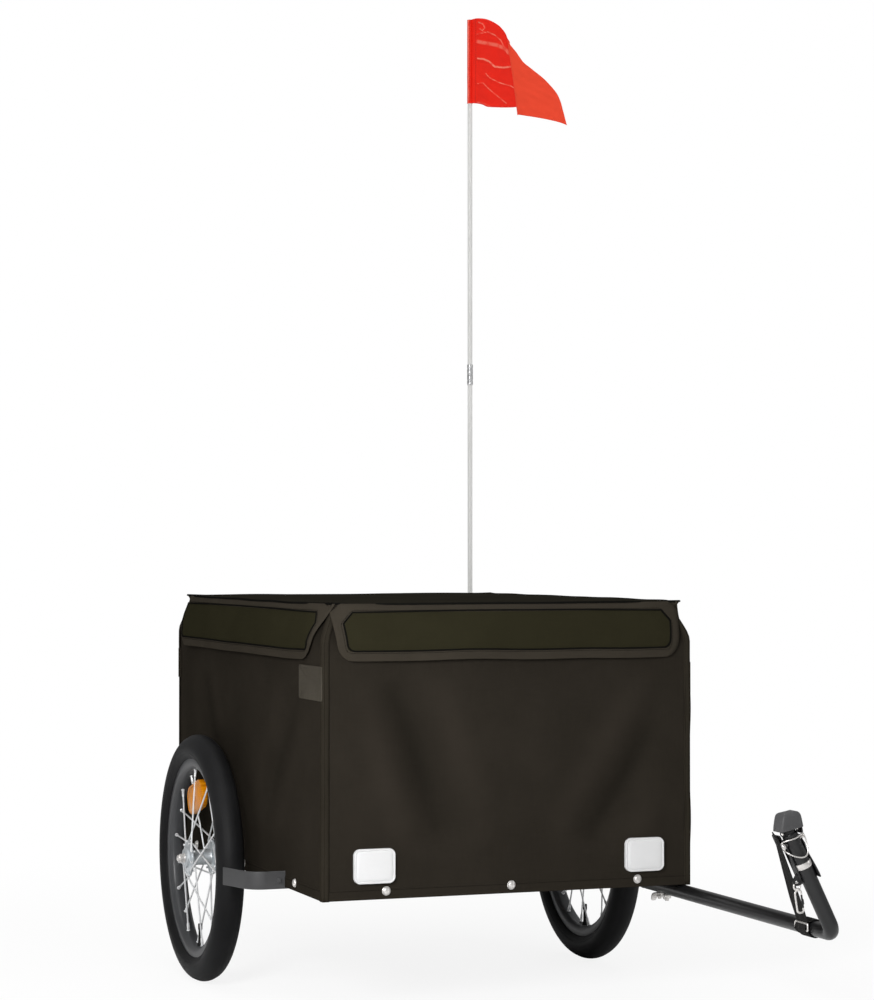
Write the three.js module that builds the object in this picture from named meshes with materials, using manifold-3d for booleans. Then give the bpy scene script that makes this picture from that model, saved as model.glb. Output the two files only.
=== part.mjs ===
// A cargo trailer for a bicycle: a cloth tub on a steel frame between two 16-inch wheels, with a cloth
// cover, a side-mounted drawbar with its hitch, and a safety flag. Millimetres; +X forward, +Y to the
// trailer's left, +Z up. The origin ends up on the ground, under the middle of the whole trailer.
import * as THREE from "three";
import { mergeVertices } from "three/addons/utils/BufferGeometryUtils.js";
import Module from "manifold-3d";

const wasm = await Module();
wasm.setup();

// General clearances
const seatGap = 0.3;
const cutOverrun = 2;
const vertexTolerance = 0.0005;

// Tub
const tubLength = 816;
const tubWidth = 593;
const tubHeight = 436;
const hemBelowAxle = 12;
const clothThickness = 1.6;
const foldDepth = 6;
const foldWidth = 42;
const bellyDepth = 4;

// Base frame
const railWidth = 20;
const railHeight = 16;
const railWall = 1.5;
const railAboveHem = 6;
const floorThickness = 4;
const beamWidth = 24;
const beamDrop = 4;
const screwHeadRadius = 6;
const screwHeadHeight = 3.2;
const screwShankRadius = 2;
const screwAboveHem = 12;

// Upper frame
const hoopRadius = 9.5;
const hoopWall = 1.2;
const hoopBendRadius = 14;

// Cover
const coverThickness = 2;
const flapDrop = 85.8;
const flapBulge = 11;
const flapCornerRadius = 26;
const endFlapInset = 12;
const sideFlapInset = 46;
const coverLip = 0.6;
const coverEar = 11;
const coverEarLength = 34;
const coverSag = 3;

// Corner tabs of the side walls
const tabLength = 117;
const tabHeight = 51;
const tabBelowTop = 144;
const tabThickness = 2.4;

// Reflectors on the tub
const reflectorWidth = 66;
const reflectorHeight = 53;
const reflectorDepth = 8;
const reflectorCorner = 9;
const reflectorAboveHem = 23;
const reflectorFromSide = 78.5;
const rearReflectorWidth = 56;
const rearReflectorHeight = 40;
const rearReflectorFromSide = 96.5;

// Wheels
const wheelRadius = 200;
const wheelFromTub = 46;
const axleBehindFront = 508;
const wheelSides = 28;
const tyreWidth = 45;
const tyreDepth = 44;
const tyreWall = 3.5;
const tubeWall = 1;
const beadFoot = 4.1;
const tyreOverRim = 38.5;
const rimDepth = 17.5;
const rimWidth = 27.6;
const rimWall = 1.4;
const rimWell = 5;
const rimSeatHeight = 9;
const rimSeatWidth = 15;
const rimFloorWidth = 14;
const rimSideHeight = 6;
const valveRadius = 4;
const valveBoreRadius = 1.2;
const valveReach = 36;
const spokeRadius = 1;
const spokeHoleRadius = 27.2;
const spokesPerFlange = 10;
const nippleRadius = 2;
const nippleLength = 12;
const spokeDish = 2.4;

// Hub and axle
const flangeRadius = 29;
const flangeThickness = 3;
const flangeSpacing = 39;
const hubBodyRadius = 12.5;
const hubLength = 54;
const hubBarrelRadius = 16;
const hubBoreRadius = 7;
const bearingRadius = 13;
const bearingWidth = 8;
const bearingBoreRadius = 5.4;
const axleRadius = 5;
const axleShoulderRadius = 7;
const axleInBeam = 34;
const axleThreadRadius = 4;
const axleThreadLength = 8;
const nutRadius = 7.5;
const nutHeight = 7;
const nutDomeRadius = 5.8;
const nutDomeHeight = 3;

// Spoke reflector
const spokeReflectorLength = 78;
const spokeReflectorHeight = 40;
const spokeReflectorDepth = 12;
const spokeReflectorOffset = 3.2;
const spokeReflectorCorner = 12;
const spokeReflectorRidge = 2.4;
const spokeReflectorRidgeHeight = 9;

// Wheel guards
const guardHeight = 25;
const guardThickness = 3;
const guardBelowHem = 3;
const guardAheadOfTyre = 120;
const guardReach = 38;
const guardBendRadius = 30;
const guardTipBack = 78;
const guardTipReach = 75;

// Drawbar
const drawbarRadius = 11.1;
const drawbarWall = 1.6;
const drawbarFromLeft = 6.5;
const boltHeadBelowRail = 1.1;
const drawbarEndBehindFront = 150;
const drawbarReach = 464;
const drawbarBendRadius = 32;
const uprightLength = 155;
const uprightLean = 26;
const pivotBehindFront = 95;
const guideBehindFront = 68;
const swingLimit = 60;
const boltRadius = 3;
const boltClearance = 0.4;
const boltHeadRadius = 4.5;
const boltHeadHeight = 3;
const boltNutRadius = 6.4;
const boltNutHeight = 5.5;
const wingSpan = 28;
const wingThickness = 3;
const wingHeight = 9;
const boltTipLength = 4;

// Bracket plate between the rail and the drawbar
const plateThickness = 2.6;
const plateGap = 0.4;
const platePadLength = 10;
const platePadInset = 2;
const plateFront = 8;
const plateRear = 12;
const plateInner = 10;

// Hitch, in the leaning frame of the drawbar's upright
const channelWall = 2.2;
const channelSideGap = 0.5;
const channelBelowTop = 7;
const channelHeight = 63;
const channelFront = 4;
const channelFootRadius = 6;
const lugReach = 11;
const lugHeight = 15;
const lugThickness = 3;
const lugHoleRadius = 2.4;
const lugHoleInset = 5;
const pinBelowTop = 22;
const pinRadius = 3;
const pinTip = 5;
const pinCollarRadius = 5;
const pinCollarLength = 4.5;
const jointBallRadius = 10.5;
const jointBallLift = 5;
const bracketWidth = 36;
const bracketDepth = 28;
const bracketHeight = 24;
const bracketWall = 3;
const bracketRound = 8;
const bracketTilt = 13;
const bailWireRadius = 1;
const bailSpread = 6;
const bailSag = 15;
const bailFront = 17;
const bailReach = 21;

// Snap hook
const hookWireRadius = 1.3;
const hookEyeRadius = 5;
const hookWidth = 12;
const hookLength = 36;
const hookBend = 4;
const gateRadius = 1.2;
const gateLength = 18;
const gateFromFoot = 6;

// Safety strap
const strapWidth = 30;
const strapThickness = 1.6;
const strapLoopBehindBend = 90;
const strapBelowTop = 1;
const strapTopBack = 14;
const strapPinBack = 21;
const strapGap = 0.7;
const loopWireRadius = 1.5;

// Flag
const poleBehindRear = 19;
const poleFromSide = 40;
const poleRadius = 3.6;
const poleWall = 1;
const poleAboveHem = 17;
const poleTop = 1678;
const upperPoleLength = 654;
const ferruleRadius = 5.3;
const ferruleLength = 37;
const ferruleInsert = 16;
const flagHeight = 156;
const flagThickness = 0.8;
const flagSleeveWall = 0.8;
const flagLength = 200;
const flagFoldStart = 84;
const flagFoldBack = 12;
const flagFoldOffset = 6;
const flagHeading = 30.7;
const socketWall = 2.4;
const socketLength = 70;
const socketFloor = 4;
const socketPlateWidth = 34;
const socketPlateThickness = 3;
const socketScrewRadius = 4;
const socketScrewHeight = 2;

// Places that follow from the sizes above
const frontFace = tubLength / 2;
const sideFace = tubWidth / 2;
const wheelY = sideFace + wheelFromTub;
const wallInside = clothThickness + seatGap;
const tubBottom = wheelRadius - hemBelowAxle;
const tubTop = tubBottom + tubHeight;
const screwHeight = tubBottom + screwAboveHem;
const reflectorBottom = tubBottom + reflectorAboveHem;
const tabBottom = tubTop - tabBelowTop;
const rimOuterRadius = wheelRadius - tyreOverRim;
const rimInnerRadius = rimOuterRadius - rimDepth;
const railBottom = tubBottom + railAboveHem;
const railTop = railBottom + railHeight;
const railOuterX = frontFace - wallInside;
const railOuterY = sideFace - wallInside;
const railMiddleX = railOuterX - railWidth / 2;
const railMiddleY = railOuterY - railWidth / 2;
const axleX = frontFace - axleBehindFront;
const guardBottom = tubBottom - guardBelowHem;
const guardRootX = axleX + wheelRadius + guardAheadOfTyre;
const coverUnderside = tubTop - coverThickness;
const wallTop = coverUnderside - seatGap;
const hoopTop = wallTop - hoopRadius;
const pivotX = frontFace - pivotBehindFront;
const guideX = frontFace - guideBehindFront;
const drawbarY = sideFace - drawbarFromLeft;
const boltHeadTop = railBottom - boltHeadBelowRail;
const drawbarPlateTop = boltHeadTop - boltHeadHeight - seatGap;
const drawbarHeight = drawbarPlateTop - plateThickness - plateGap - drawbarRadius;
const channelTop = uprightLength - channelBelowTop;
const channelBottom = channelTop - channelHeight;
const pinHeight = uprightLength - pinBelowTop;
const strapTopHeight = uprightLength - strapBelowTop;
const bendX = frontFace + drawbarReach;
const poleX = -frontFace - poleBehindRear;
const poleY = sideFace - poleFromSide;
const poleBottom = tubBottom + poleAboveHem;
const poleSplit = poleTop - upperPoleLength;

const trailer = new THREE.Group();
const model = new THREE.Group();
trailer.add(model);

// A new material for each piece, by colour, roughness and metalness.
function finish(color, roughness, metalness = 0) {
  return new THREE.MeshStandardMaterial({ color, roughness, metalness });
}
const finishes = {
  cloth: () => finish(0x2a2723, 0.9),
  coverCloth: () => finish(0x2a281c, 0.85),
  frameSteel: () => finish(0x202124, 0.45, 0.6),
  floorBoard: () => finish(0x3b3630, 0.7),
  tyre: () => finish(0x1b1b1c, 0.8),
  rim: () => finish(0x222326, 0.4, 0.5),
  bright: () => finish(0xc9ccce, 0.3, 1),
  blackPaint: () => finish(0x17181a, 0.3, 0.3),
  blackPlastic: () => finish(0x222222, 0.6),
  rubber: () => finish(0x151515, 0.9),
  greyPlastic: () => finish(0x4a4a4a, 0.55),
  clearReflector: () => finish(0xe4e6e6, 0.2),
  redReflector: () => finish(0xa01410, 0.2),
  amber: () => finish(0xd98a14, 0.25),
  webbing: () => finish(0x2b2b2b, 0.9),
  pole: () => finish(0xf0f0ee, 0.4),
  flag: () => finish(0xe0321c, 0.35),
};

// A closed mesh as a solid that can be joined and cut.
function solidOf(geometry) {
  const bare = geometry.clone();
  bare.deleteAttribute("normal");
  bare.deleteAttribute("uv");
  const merged = mergeVertices(bare, vertexTolerance);
  const vertProperties = merged.attributes.position.array;
  const triVerts = new Uint32Array(merged.index.array);
  return new wasm.Manifold(new wasm.Mesh({ numProp: 3, vertProperties, triVerts }));
}

function geometryOf(solid) {
  const { vertProperties, triVerts } = solid.getMesh();
  const geometry = new THREE.BufferGeometry();
  geometry.setAttribute("position", new THREE.BufferAttribute(vertProperties, 3));
  geometry.setIndex(new THREE.BufferAttribute(triVerts, 1));
  return geometry;
}

function joined(...geometries) {
  return geometries.map(solidOf).reduce((whole, piece) => whole.add(piece));
}

function cut(solid, ...geometries) {
  return geometries.map(solidOf).reduce((whole, piece) => whole.subtract(piece), solid);
}

function addPiece(name, shape, material, parent = model) {
  const geometry = shape.isBufferGeometry ? shape : geometryOf(shape);
  const mesh = new THREE.Mesh(geometry, material);
  mesh.name = name;
  parent.add(mesh);
  return mesh;
}

// A block between its lowest and highest corner.
function block([x0, y0, z0], [x1, y1, z1]) {
  const box = new THREE.BoxGeometry(x1 - x0, y1 - y0, z1 - z0);
  return box.translate((x0 + x1) / 2, (y0 + y1) / 2, (z0 + z1) / 2);
}

// A round rod between two points, or a cone where its end radius differs.
function rod(start, end, radius, sides = 12, endRadius = radius) {
  const from = new THREE.Vector3(...start);
  const to = new THREE.Vector3(...end);
  const along = to.clone().sub(from);
  const cylinder = new THREE.CylinderGeometry(endRadius, radius, along.length(), sides);
  const up = new THREE.Vector3(0, 1, 0);
  const turn = new THREE.Quaternion().setFromUnitVectors(up, along.clone().normalize());
  return cylinder.applyQuaternion(turn).translate(...from.add(to).divideScalar(2));
}

// A ball with few faces.
function ball([x, y, z], radius, around = 12, down = 8) {
  return new THREE.SphereGeometry(radius, around, down).translate(x, y, z);
}

function circlePoints(radius, sides) {
  return Array.from({ length: sides }, (_, i) => {
    const angle = (2 * Math.PI * i) / sides;
    return new THREE.Vector2(radius * Math.cos(angle), radius * Math.sin(angle));
  });
}

// Points of a rectangle with rounded corners, about its middle.
function roundedPoints(width, height, corner, steps = 3) {
  return [[1, 1], [-1, 1], [-1, -1], [1, -1]].flatMap(([sideX, sideY], quarter) =>
    evenShares(steps).map((share) => {
      const angle = (Math.PI / 2) * (quarter + share);
      const x = sideX * (width / 2 - corner) + corner * Math.cos(angle);
      return new THREE.Vector2(x, sideY * (height / 2 - corner) + corner * Math.sin(angle));
    }));
}

function extruded(outline, depth) {
  const shape = outline instanceof THREE.Shape ? outline : new THREE.Shape(outline);
  return new THREE.ExtrudeGeometry(shape, { depth, bevelEnabled: false, curveSegments: 5 });
}

// A route of straight runs with rounded bends, with rings only where it bends.
class BentRoute extends THREE.Curve {
  constructor(corners, bendRadius, bendSteps) {
    super();
    this.stations = [];
    const points = corners.map((corner) => new THREE.Vector3(...corner));
    points.forEach((point, i) => {
      const before = points[i - 1] ?? point;
      const after = points[i + 1] ?? point;
      const arriving = point.clone().sub(before).normalize();
      const leaving = after.clone().sub(point).normalize();
      if (i === 0 || i === points.length - 1) {
        this.stations.push({ point, tangent: i === 0 ? leaving : arriving });
        return;
      }
      const turn = arriving.angleTo(leaving);
      const hinge = arriving.clone().cross(leaving).normalize();
      const inward = hinge.clone().cross(arriving).multiplyScalar(bendRadius);
      const reach = bendRadius * Math.tan(turn / 2);
      const centre = point.clone().addScaledVector(arriving, -reach).add(inward);
      for (let k = 0; k <= bendSteps; k += 1) {
        const angle = (turn * k) / bendSteps;
        const spoke = inward.clone().negate().applyAxisAngle(hinge, angle);
        const tangent = arriving.clone().applyAxisAngle(hinge, angle);
        this.stations.push({ point: centre.clone().add(spoke), tangent });
      }
    });
  }
  get steps() {
    return this.stations.length - 1;
  }
  getPointAt(share) {
    return this.stations[Math.round(share * this.steps)].point.clone();
  }
  getTangentAt(share) {
    return this.stations[Math.round(share * this.steps)].tangent.clone();
  }
}

// A tube or, without a wall, a solid wire along a bent route.
function bent(corners, bendRadius, radius, { wall = 0, sides = 12, bendSteps = 4 } = {}) {
  const route = new BentRoute(corners, bendRadius, bendSteps);
  const section = new THREE.Shape(circlePoints(radius, sides));
  if (wall > 0) section.holes.push(new THREE.Path(circlePoints(radius - wall, sides)));
  const settings = { extrudePath: route, steps: route.steps, bevelEnabled: false };
  return new THREE.ExtrudeGeometry(section, settings);
}

// A straight tube, open at both ends.
function tube(start, end, radius, wall, sides = 12) {
  return bent([start, end], radius, radius, { wall, sides });
}

// Joins rows of points into a closed skin: each row is a loop, and the first and last are capped.
function loft(loops) {
  const count = loops[0].length;
  const index = [];
  for (let i = 0; i + 1 < loops.length; i += 1) {
    for (let j = 0; j < count; j += 1) {
      const a = i * count + j;
      const b = i * count + ((j + 1) % count);
      index.push(a, b, a + count, b, b + count, a + count);
    }
  }
  const last = (loops.length - 1) * count;
  for (let j = 1; j + 1 < count; j += 1) {
    index.push(0, j + 1, j, last, last + j, last + j + 1);
  }
  const geometry = new THREE.BufferGeometry().setFromPoints(loops.flat());
  return geometry.setIndex(index);
}

// A flat band through stations, each with its middle, half its width and half its thickness.
function band(stations) {
  return loft(
    stations.map(({ middle, across, through }) => [
      middle.clone().add(across).add(through),
      middle.clone().sub(across).add(through),
      middle.clone().sub(across).sub(through),
      middle.clone().add(across).sub(through),
    ]),
  );
}

// A sheet of cloth as a thin slab. Both faces are functions of the share across and the share up,
// and the outer one is seen with "across" running to the right.
function sheet(acrossShares, upShares, outer, inner) {
  const columns = acrossShares.length;
  const rows = upShares.length;
  const points = [outer, inner].flatMap((face) =>
    upShares.flatMap((up) => acrossShares.map((across) => face(across, up))),
  );
  const behind = columns * rows;
  const index = [];
  const quad = (a, b, c, d) => index.push(a, b, c, a, c, d);
  for (let r = 0; r + 1 < rows; r += 1) {
    for (let c = 0; c + 1 < columns; c += 1) {
      const a = r * columns + c;
      quad(a, a + 1, a + columns + 1, a + columns);
      quad(behind + a, behind + a + columns, behind + a + columns + 1, behind + a + 1);
    }
  }
  for (let c = 0; c + 1 < columns; c += 1) {
    const top = (rows - 1) * columns + c;
    quad(behind + c, behind + c + 1, c + 1, c);
    quad(top, top + 1, behind + top + 1, behind + top);
  }
  for (let r = 0; r + 1 < rows; r += 1) {
    const left = r * columns;
    const right = left + columns - 1;
    quad(left, left + columns, behind + left + columns, behind + left);
    quad(behind + right, behind + right + columns, right + columns, right);
  }
  return new THREE.BufferGeometry().setFromPoints(points).setIndex(index);
}

function evenShares(steps) {
  return Array.from({ length: steps + 1 }, (_, i) => i / steps);
}

// Rises smoothly from 0 to 1 as the share goes from 0 to the given width.
function ease(share, width) {
  const part = Math.min(Math.max(share / width, 0), 1);
  return part * part * (3 - 2 * part);
}

// Base frame: four rails with the screws that hold the cloth hem, an axle beam and the floor
const screwShares = [0.165, 0.5, 0.85];

function railTube(low, high, along) {
  const inset = [railWall, railWall, railWall];
  inset[along] = -cutOverrun;
  const innerLow = low.map((value, i) => value + inset[i]);
  const innerHigh = high.map((value, i) => value - inset[i]);
  return cut(solidOf(block(low, high)), block(innerLow, innerHigh));
}

// A round-headed screw through the hem, pointing out along X or Y.
function hemScrew(along, outward, across) {
  const face = along === 0 ? frontFace : sideFace;
  const under = face + seatGap;
  const screw = lathed([
    [0, face - wallInside - railWall],
    [screwShankRadius, face - wallInside - railWall],
    [screwShankRadius, under],
    [screwHeadRadius, under],
    [0, under + screwHeadHeight],
  ], 8);
  const turn = along === 1 ? (outward > 0 ? 0 : Math.PI) : (-outward * Math.PI) / 2;
  screw.rotateZ(turn).translate(along === 1 ? across : 0, along === 0 ? across : 0, screwHeight);
  return solidOf(screw);
}

function addBaseFrame() {
  const crossEnd = railOuterY - railWidth - seatGap;
  for (const [name, side] of [["left", 1], ["right", -1]]) {
    const inner = side * (railOuterY - railWidth);
    const outer = side * railOuterY;
    const low = [-railOuterX, Math.min(inner, outer), railBottom];
    const high = [railOuterX, Math.max(inner, outer), railTop];
    let rail = railTube(low, high, 0);
    const places = screwShares.map((share) => frontFace - share * tubLength);
    for (const x of places) rail = rail.add(hemScrew(1, side, x));
    const axleHole = rod([axleX, inner - side * cutOverrun, wheelRadius],
      [axleX, outer + side * cutOverrun, wheelRadius], axleRadius + seatGap, 16);
    rail = cut(rail, axleHole);
    addPiece(`base_rail_${name}`, rail, finishes.frameSteel());
  }
  for (const [name, end] of [["front", 1], ["rear", -1]]) {
    const inner = end * (railOuterX - railWidth);
    const outer = end * railOuterX;
    const low = [Math.min(inner, outer), -crossEnd, railBottom];
    const high = [Math.max(inner, outer), crossEnd, railTop];
    let rail = railTube(low, high, 1);
    const places = screwShares.map((share) => share * tubWidth - sideFace);
    for (const y of places) rail = rail.add(hemScrew(0, end, y));
    addPiece(`base_rail_${name}`, rail, finishes.frameSteel());
  }
  const beamLow = [axleX - beamWidth / 2, -crossEnd, railBottom - beamDrop];
  const beamHigh = [axleX + beamWidth / 2, crossEnd, railTop];
  const bores = [-1, 1].map((side) =>
    rod([axleX, side * (crossEnd + cutOverrun), wheelRadius],
      [axleX, side * (crossEnd - axleInBeam), wheelRadius], axleRadius + seatGap, 16));
  addPiece("axle_beam", cut(solidOf(block(beamLow, beamHigh)), ...bores), finishes.frameSteel());

  const floorX = railOuterX - seatGap;
  const floorY = railOuterY - seatGap;
  const notchX = railMiddleX - hoopRadius - 2 * seatGap;
  const notchY = railMiddleY - hoopRadius - 2 * seatGap;
  const outline = new THREE.Shape();
  const quarter = [[floorX, notchY], [notchX, notchY], [notchX, floorY]];
  const turned = [[1, 1], [-1, 1], [-1, -1], [1, -1]].flatMap(([sx, sy]) => {
    const corner = quarter.map(([x, y]) => new THREE.Vector2(sx * x, sy * y));
    return sx * sy > 0 ? corner : corner.reverse();
  });
  outline.setFromPoints(turned);
  const floor = extruded(outline, floorThickness).translate(0, 0, railTop + seatGap);
  addPiece("floor_panel", floor, finishes.floorBoard());
}

// Upper frame: a front and a rear hoop, with a top rail on each side between them
function addUpperFrame() {
  const footHeight = railTop + seatGap;
  for (const [name, end] of [["front", 1], ["rear", -1]]) {
    const x = end * railMiddleX;
    const corners = [[x, -railMiddleY, footHeight], [x, -railMiddleY, hoopTop],
      [x, railMiddleY, hoopTop], [x, railMiddleY, footHeight]];
    const hoop = bent(corners, hoopBendRadius, hoopRadius, { wall: hoopWall, sides: 10, bendSteps: 2 });
    addPiece(`hoop_${name}`, hoop, finishes.frameSteel());
  }
  for (const [name, side] of [["left", 1], ["right", -1]]) {
    const end = railMiddleX - hoopRadius - seatGap;
    const start = [-end, side * railMiddleY, hoopTop];
    const rail = tube(start, [end, side * railMiddleY, hoopTop], hoopRadius, hoopWall, 10);
    addPiece(`top_rail_${name}`, rail, finishes.frameSteel());
  }
}

// Cloth walls. Each fold is a soft valley between two places given as shares across and up the wall.
const wallFoldShares = {
  front: [[0.2, 0.72, 0.31, 0.24], [0.96, 0.68, 0.74, 0.2]],
  rear: [[0.14, 0.7, 0.34, 0.22], [0.82, 0.72, 0.64, 0.26]],
  left: [[0.16, 0.68, 0.3, 0.3], [0.86, 0.7, 0.72, 0.28]],
  right: [[0.2, 0.7, 0.34, 0.26], [0.84, 0.66, 0.68, 0.3]],
};
const wallRowShares = [0, 0.2, 0.32, 0.44, 0.55, 0.66, 0.79, 1];
const hemShare = 0.2;
const hemBlendShare = 0.14;
const edgeShare = 0.045;
const edgeBlendShare = 0.12;

function foldHeight(name, width, across, up) {
  const height = wallTop - tubBottom;
  const underCover = flapDrop / height;
  const calm = ease(across - edgeShare, edgeBlendShare) * ease(1 - across - edgeShare, edgeBlendShare)
    * ease(up - hemShare, hemBlendShare) * ease(1 - up - underCover, hemBlendShare);
  let depth = bellyDepth;
  for (const [fromAcross, fromUp, toAcross, toUp] of wallFoldShares[name]) {
    const start = new THREE.Vector3(fromAcross * width, fromUp * height, 0);
    const end = new THREE.Vector3(toAcross * width, toUp * height, 0);
    const place = new THREE.Vector3(across * width, up * height, 0);
    const nearest = new THREE.Line3(start, end).closestPointToPoint(place, true, new THREE.Vector3());
    const distance = nearest.distanceTo(place) / foldWidth;
    depth -= (foldDepth + bellyDepth) * Math.exp(-distance * distance);
  }
  return calm * depth;
}

// A wall in its own frame: X across, Z up and its outer face towards -Y.
function clothWall(name, width) {
  const face = (across, up, back) => new THREE.Vector3(
    (across - 0.5) * width,
    back - foldHeight(name, width, across, up),
    tubBottom + up * (wallTop - tubBottom),
  );
  const outer = (across, up) => face(across, up, 0);
  const inner = (across, up) => face(across, up, clothThickness);
  return sheet(evenShares(10), wallRowShares, outer, inner);
}

function addWalls() {
  const endPlaces = screwShares.map((share) => share * tubWidth - sideFace);
  const hole = (x) => rod([x, -cutOverrun, screwHeight], [x, clothThickness + cutOverrun, screwHeight],
    screwShankRadius + seatGap, 6);
  for (const [name, end, turn] of [["front", 1, Math.PI / 2], ["rear", -1, -Math.PI / 2]]) {
    const wall = cut(solidOf(clothWall(name, tubWidth)), ...endPlaces.map((y) => hole(end * y)));
    const piece = addPiece(`fabric_${name}`, wall, finishes.cloth());
    piece.position.x = end * frontFace;
    piece.rotation.z = turn;
  }
  const sideWidth = tubLength - 2 * (clothThickness + seatGap);
  for (const [name, side, turn] of [["right", -1, 0], ["left", 1, Math.PI]]) {
    const along = -side;
    const tabs = [1, -1].map((end) => {
      const near = end * (sideWidth / 2 - seatGap);
      const far = end * (sideWidth / 2 - tabLength);
      return block([Math.min(near, far), -tabThickness, tabBottom],
        [Math.max(near, far), clothThickness / 2, tabBottom + tabHeight]);
    });
    const places = screwShares.map((share) => along * (frontFace - share * tubLength));
    const axleHole = rod([along * axleX, -cutOverrun, wheelRadius],
      [along * axleX, clothThickness + cutOverrun, wheelRadius], axleShoulderRadius + seatGap, 12);
    const guardSlot = block(
      [along * guardRootX - guardThickness / 2 - seatGap, -cutOverrun, tubBottom - cutOverrun],
      [along * guardRootX + guardThickness / 2 + seatGap, clothThickness + cutOverrun,
        guardBottom + guardHeight + seatGap]);
    const cloth = joined(clothWall(name, sideWidth), ...tabs);
    const wall = cut(cloth, ...places.map(hole), axleHole, guardSlot);
    const piece = addPiece(`fabric_${name}`, wall, finishes.cloth());
    piece.position.y = side * sideFace;
    piece.rotation.z = turn;
  }
}

// Cover: a sagging top panel with pointed ears and four hanging flaps, sewn into one piece
const flapRowShares = [0, 0.35, 0.7, 0.86, 0.95, 1];
const flapBulgeShare = 0.72;
const flapRoundingShare = 0.8;

// A flap in its own frame: X across, hanging from the tub's top edge, its outer face towards -Y.
function coverFlap(width, inset) {
  const face = (across, up, back) => {
    const down = 1 - up;
    const below = Math.max(down * flapDrop - (flapDrop - flapCornerRadius), 0);
    const rounding = flapCornerRadius - Math.sqrt(flapCornerRadius ** 2 - below ** 2);
    const half = width / 2 - inset * down - rounding * flapRoundingShare;
    const swell = Math.sin(Math.PI * Math.min(down, 1) * flapBulgeShare) * (1 - (2 * across - 1) ** 4);
    const top = tubTop - coverThickness / 2;
    const height = top - down * (flapDrop - coverThickness / 2);
    return new THREE.Vector3((2 * across - 1) * half, back - flapBulge * swell, height);
  };
  const stand = seatGap + coverThickness;
  const outer = (across, up) => face(across, up, -stand);
  const inner = (across, up) => face(across, up, -seatGap);
  const rows = flapRowShares.map((share) => 1 - share).reverse();
  return sheet(evenShares(6), rows, outer, inner);
}

function coverTop() {
  const halfX = frontFace + seatGap + coverThickness + coverLip;
  const halfY = sideFace + seatGap + coverThickness + coverLip;
  const flatX = (halfX - coverEarLength) / halfX;
  const flatY = (halfY - coverEarLength) / halfY;
  const spread = (share, flat) => {
    const place = 2 * share - 1;
    return Math.sign(place) * Math.max(Math.abs(place) - flat, 0) / (1 - flat);
  };
  const shares = (flat) => [0, (1 - flat) / 4, (1 - flat) / 2, 0.5, (1 + flat) / 2, (3 + flat) / 4, 1];
  const face = (across, up, lift) => {
    const earX = spread(across, flatX);
    const earY = spread(up, flatY);
    const ear = coverEar * Math.abs(earX * earY) ** 1.5;
    const sag = coverSag * (1 - (2 * across - 1) ** 2) * (1 - (2 * up - 1) ** 2);
    return new THREE.Vector3(
      (2 * across - 1) * halfX + Math.sign(earX) * ear,
      (2 * up - 1) * halfY + Math.sign(earY) * ear,
      tubTop + lift - sag,
    );
  };
  return sheet(shares(flatX), shares(flatY),
    (across, up) => face(across, up, 0), (across, up) => face(across, up, -coverThickness));
}

function addCover() {
  const end = coverFlap(tubWidth, endFlapInset);
  const side = coverFlap(tubLength, sideFlapInset);
  const flaps = [
    side.clone().translate(0, -sideFace, 0),
    side.clone().rotateZ(Math.PI).translate(0, sideFace, 0),
    end.clone().rotateZ(Math.PI / 2).translate(frontFace, 0, 0),
    end.clone().rotateZ(-Math.PI / 2).translate(-frontFace, 0, 0),
  ];
  addPiece("cover", joined(coverTop(), ...flaps), finishes.coverCloth());
}

// Reflectors: rounded lenses with a bevelled edge, seated on the cloth
function reflector(width, height) {
  const bevel = reflectorDepth / 4;
  const loopAt = (inset, depth) => {
    const outline = roundedPoints(width - 2 * inset, height - 2 * inset, reflectorCorner - inset);
    return outline.map(({ x, y }) => new THREE.Vector3(x, y, depth));
  };
  return loft([loopAt(0, 0), loopAt(0, reflectorDepth - bevel), loopAt(bevel, reflectorDepth)]);
}

function addReflectors() {
  const sizes = {
    front: [reflectorWidth, reflectorHeight, reflectorFromSide, 1, finishes.clearReflector],
    rear: [rearReflectorWidth, rearReflectorHeight, rearReflectorFromSide, -1, finishes.redReflector],
  };
  for (const [name, [width, height, fromSide, end, material]] of Object.entries(sizes)) {
    for (const [sideName, side] of [["left", 1], ["right", -1]]) {
      const piece = addPiece(`${name}_reflector_${sideName}`, reflector(width, height), material());
      piece.rotation.set(Math.PI / 2, (end * Math.PI) / 2, 0);
      piece.position.set(end * (frontFace + seatGap), side * (sideFace - fromSide),
        reflectorBottom + height / 2);
    }
  }
}

// Wheels, in a frame with the spin axis along Y, outwards
function lathed(profile, sides = wheelSides) {
  const points = profile.map(([radius, along]) => new THREE.Vector2(radius, along));
  const closed = points[0].x > 0 ? [...points, points[0].clone()] : points;
  return new THREE.LatheGeometry(closed, sides);
}

// Points of an ellipse round (middle, 0), from minus the angle to plus the angle.
function crownPoints(middle, depth, width, angle, steps) {
  return evenShares(steps).map((share) => {
    const turn = angle * (2 * share - 1);
    return [middle + (depth / 2) * Math.cos(turn), (width / 2) * Math.sin(turn)];
  });
}

const tyreMiddle = wheelRadius - tyreDepth / 2;
const rimSeatRadius = rimInnerRadius + rimSeatHeight;
const flangeInside = rimWidth / 2 - rimWall;

const beadOut = flangeInside - seatGap;
const beadIn = beadOut - beadFoot;

// The loop inside the tyre's wall, or nearer its middle by an inset, open towards the rim.
function insideTyre(inset) {
  const wide = tyreWidth - 2 * tyreWall;
  const open = Math.PI - Math.asin((2 * beadIn) / wide);
  return crownPoints(tyreMiddle, tyreDepth - 2 * (tyreWall + inset), wide - 2 * inset, open, 4);
}

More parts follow.
